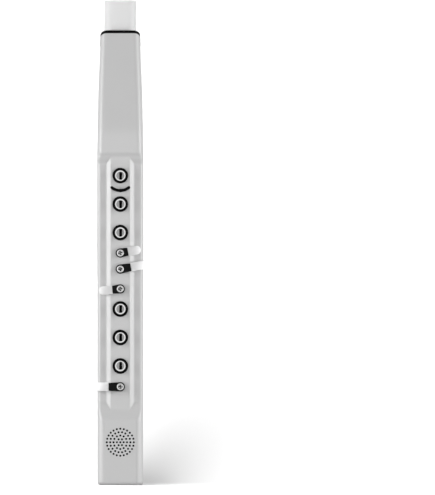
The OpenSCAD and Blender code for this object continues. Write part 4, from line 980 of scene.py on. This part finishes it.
studio = dict(
    floorTone=214, floorReach=9000, rampStart=21.5, rampBend=4, rampSlope=41, rampSteps=10,
    worldFront=0.12, worldBack=0.65, boxPower=11.8, boxSize=(0.5, 1.0), boxDistance=1.15, boxAngle=67,
    boxHeight=0.27, leftShare=1.07, frontPower=68, frontSize=2.2, frontDistance=2.5, frontHeight=-0.4,
    frontWay=(0, 1, 0.24), sunPower=9.7, sunAngle=108, sunRise=40, sunBack=6,
    litFinishes=("shellGrey", "capFrost", "beakWhite", "collarPale", "bladeChromeAndScrewHighlight"))
cards = dict(
    stripe=dict(radius=600, low=-0.228, high=0.435, reach=54, glow=0.0),
    middle=dict(distance=2000, radius=3000, glow=0.42),
    behind=dict(distance=800, half=700, top=1300, glow=0.2), height=200)
view = dict(width=435, height=495, perPixel=0.95, axisPixel=120.3, footPixel=484.8, distance=12.0, sensor=36)


def stageMaterial(name):
    material, tree = newMaterial(name)
    tree.nodes.remove(tree.nodes["Principled BSDF"])
    return material, tree, tree.nodes["Material Output"].inputs["Surface"]


def stripFaces(count):
    return [(2 * k, 2 * k + 1, 2 * k + 3, 2 * k + 2) for k in range(count)]


def makeFloor():
    # A level floor that runs up behind the instrument, and is see-through from behind
    reach, count = studio["floorReach"], studio["rampSteps"]
    line = [(-reach, 0), (studio["rampStart"], 0)]
    bend = [(studio["rampSlope"] * (k + 0.5) / count, studio["rampBend"] / count) for k in range(count)]
    for slope, step in bend + [(studio["rampSlope"], reach)]:
        y, z = line[-1]
        line.append((y + step * cos(radians(slope)), z + step * sin(radians(slope))))
    points = [(x, y, z) for y, z in line for x in (-reach, reach)]
    floor = newMesh("floorSheet", points, stripFaces(len(line) - 1))
    material, tree, surface = stageMaterial("paleFloor")
    matt = addNode(tree, "BsdfDiffuse", {"Color": tone(studio["floorTone"])})
    clear = addNode(tree, "BsdfTransparent")
    face = addNode(tree, "NewGeometry")
    either = addNode(tree, "MixShader", {"Fac": face.outputs["Backfacing"], 1: matt, 2: clear})
    tree.links.new(either.outputs["Shader"], surface)
    floor.data.materials.append(material)
    floor.visible_glossy = floor.visible_diffuse = False
    return floor


def makeWorld():
    # White where it is seen or mirrored; as a light, low in front and brighter behind
    world = bpy.data.worlds.new("studio")
    scene.world = world
    world.use_nodes = True
    tree = world.node_tree
    path = addNode(tree, "LightPath").outputs
    seen = path["Is Camera Ray"]
    for other in ("Is Transmission Ray", "Is Glossy Ray"):
        seen = addNode(tree, "Math", {0: seen, 1: path[other]}, operation="MAXIMUM")
    split = addNode(tree, "SeparateXYZ", {"Vector": addNode(tree, "TexCoord").outputs["Generated"]})
    depth = addNode(tree, "MapRange", {"From Min": -0.1, "From Max": 0.5, "To Min": studio["worldFront"],
                                       "To Max": studio["worldBack"], "Value": split.outputs["Y"]})
    strength = addNode(tree, "Mix", {"Factor": seen, "A": depth, "B": 1.0})
    background = tree.nodes["Background"]
    background.inputs["Color"].default_value = (1, 1, 1, 1)
    tree.links.new(strength.outputs["Result"], background.inputs["Strength"])


def makeLamp(name, kind, spot, way, power, lit):
    # The lamp lights only the objects in lit
    data = bpy.data.lights.new(name, kind)
    data.energy = power
    lamp = linked(name, data)
    lamp.location = spot
    lamp.rotation_euler = Vector(way).to_track_quat("-Z", "Y").to_euler()
    group = bpy.data.collections.new(name + "Lights")
    for obj in lit:
        group.objects.link(obj)
    lamp.light_linking.receiver_collection = group
    return lamp


def makeLamps(floor):
    meshes = [o for o in scene.objects if o.type == "MESH"]
    pale = {paint[k].name for k in studio["litFinishes"]}
    paleParts = [o for o in meshes if any(m and m.name in pale for m in o.data.materials)]
    a, d, left = radians(studio["boxAngle"]), studio["boxDistance"], studio["leftShare"]
    for s, name, share in ((-1, "sideBoxLeft", left), (1, "sideBoxRight", 2 - left)):
        lamp = makeLamp(name, "AREA", (s * d * sin(a), -d * cos(a), studio["boxHeight"]),
                        (-s * sin(a), cos(a), 0), studio["boxPower"] * share, paleParts)
        lamp.data.shape = "RECTANGLE"
        lamp.data.size, lamp.data.size_y = studio["boxSize"]
    inside = [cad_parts[n] for finish, nodes in kept.items() if finish != "keyBlack" for n in nodes]
    front = makeLamp("frontBox", "AREA", (0, -studio["frontDistance"], studio["frontHeight"]), studio["frontWay"],
                     studio["frontPower"], [o for o in meshes if o != floor and o not in inside])
    front.data.size = studio["frontSize"]
    front.visible_glossy = False
    rise, back = radians(studio["sunRise"]), radians(studio["sunBack"])
    way = (cos(rise) * cos(back), cos(rise) * sin(back), -sin(rise))
    sun = makeLamp("floorSun", "SUN", (0, 0, 1), way, studio["sunPower"], [floor])
    sun.data.angle = radians(studio["sunAngle"])


def makeCard(name, points, faces, glow):
    # Seen in reflections only
    card = newMesh(name, points, faces)
    material, tree, surface = stageMaterial(name)
    lit = addNode(tree, "Emission", {"Color": (1, 1, 1, 1), "Strength": glow})
    tree.links.new(lit.outputs["Emission"], surface)
    card.data.materials.append(material)
    for ray in ("camera", "diffuse", "transmission", "shadow", "volume_scatter"):
        setattr(card, "visible_" + ray, False)


def makeCards():
    k, z, count = cards["stripe"], cards["height"], 24
    angles = [radians(k["reach"] * (2 * i / count - 1)) for i in range(count + 1)]
    points = [(x * k["radius"], -k["radius"] * cos(a), z + k["radius"] * sin(a))
              for a in angles for x in (k["low"], k["high"])]
    makeCard("stripeCard", points, stripFaces(count), k["glow"])
    k, count = cards["middle"], 64
    points = [(k["radius"] * cos(a), -k["distance"], z + k["radius"] * sin(a))
              for a in (2 * pi * i / count for i in range(count))]
    makeCard("middleCard", points, [tuple(range(count))], k["glow"])
    k = cards["behind"]
    points = [(x, k["distance"], z) for x, z in ((-k["half"], 0), (k["half"], 0), (k["half"], k["top"]),
                                                 (-k["half"], k["top"]))]
    makeCard("behindCard", points, [(0, 1, 2, 3)], k["glow"])


def makeCamera():
    perPixel, d = view["perPixel"] * mm, view["distance"]
    data = bpy.data.cameras.new("camera")
    lens = view["sensor"] * d / (view["height"] * perPixel)
    configure(data, sensor_width=view["sensor"], lens=lens, clip_end=60)
    cam = linked("camera", data)
    centreX = (view["width"] / 2 - view["axisPixel"]) * perPixel
    centreZ = (view["footPixel"] - view["height"] / 2) * perPixel
    cam.location = (0, -d, centreZ)
    cam.rotation_euler = Vector((centreX, d, 0)).to_track_quat("-Z", "Y").to_euler()
    scene.camera = cam


floor = makeFloor()
makeWorld()
makeLamps(floor)
makeCards()
makeCamera()
scene.view_settings.view_transform = "Standard"
print("studio made")
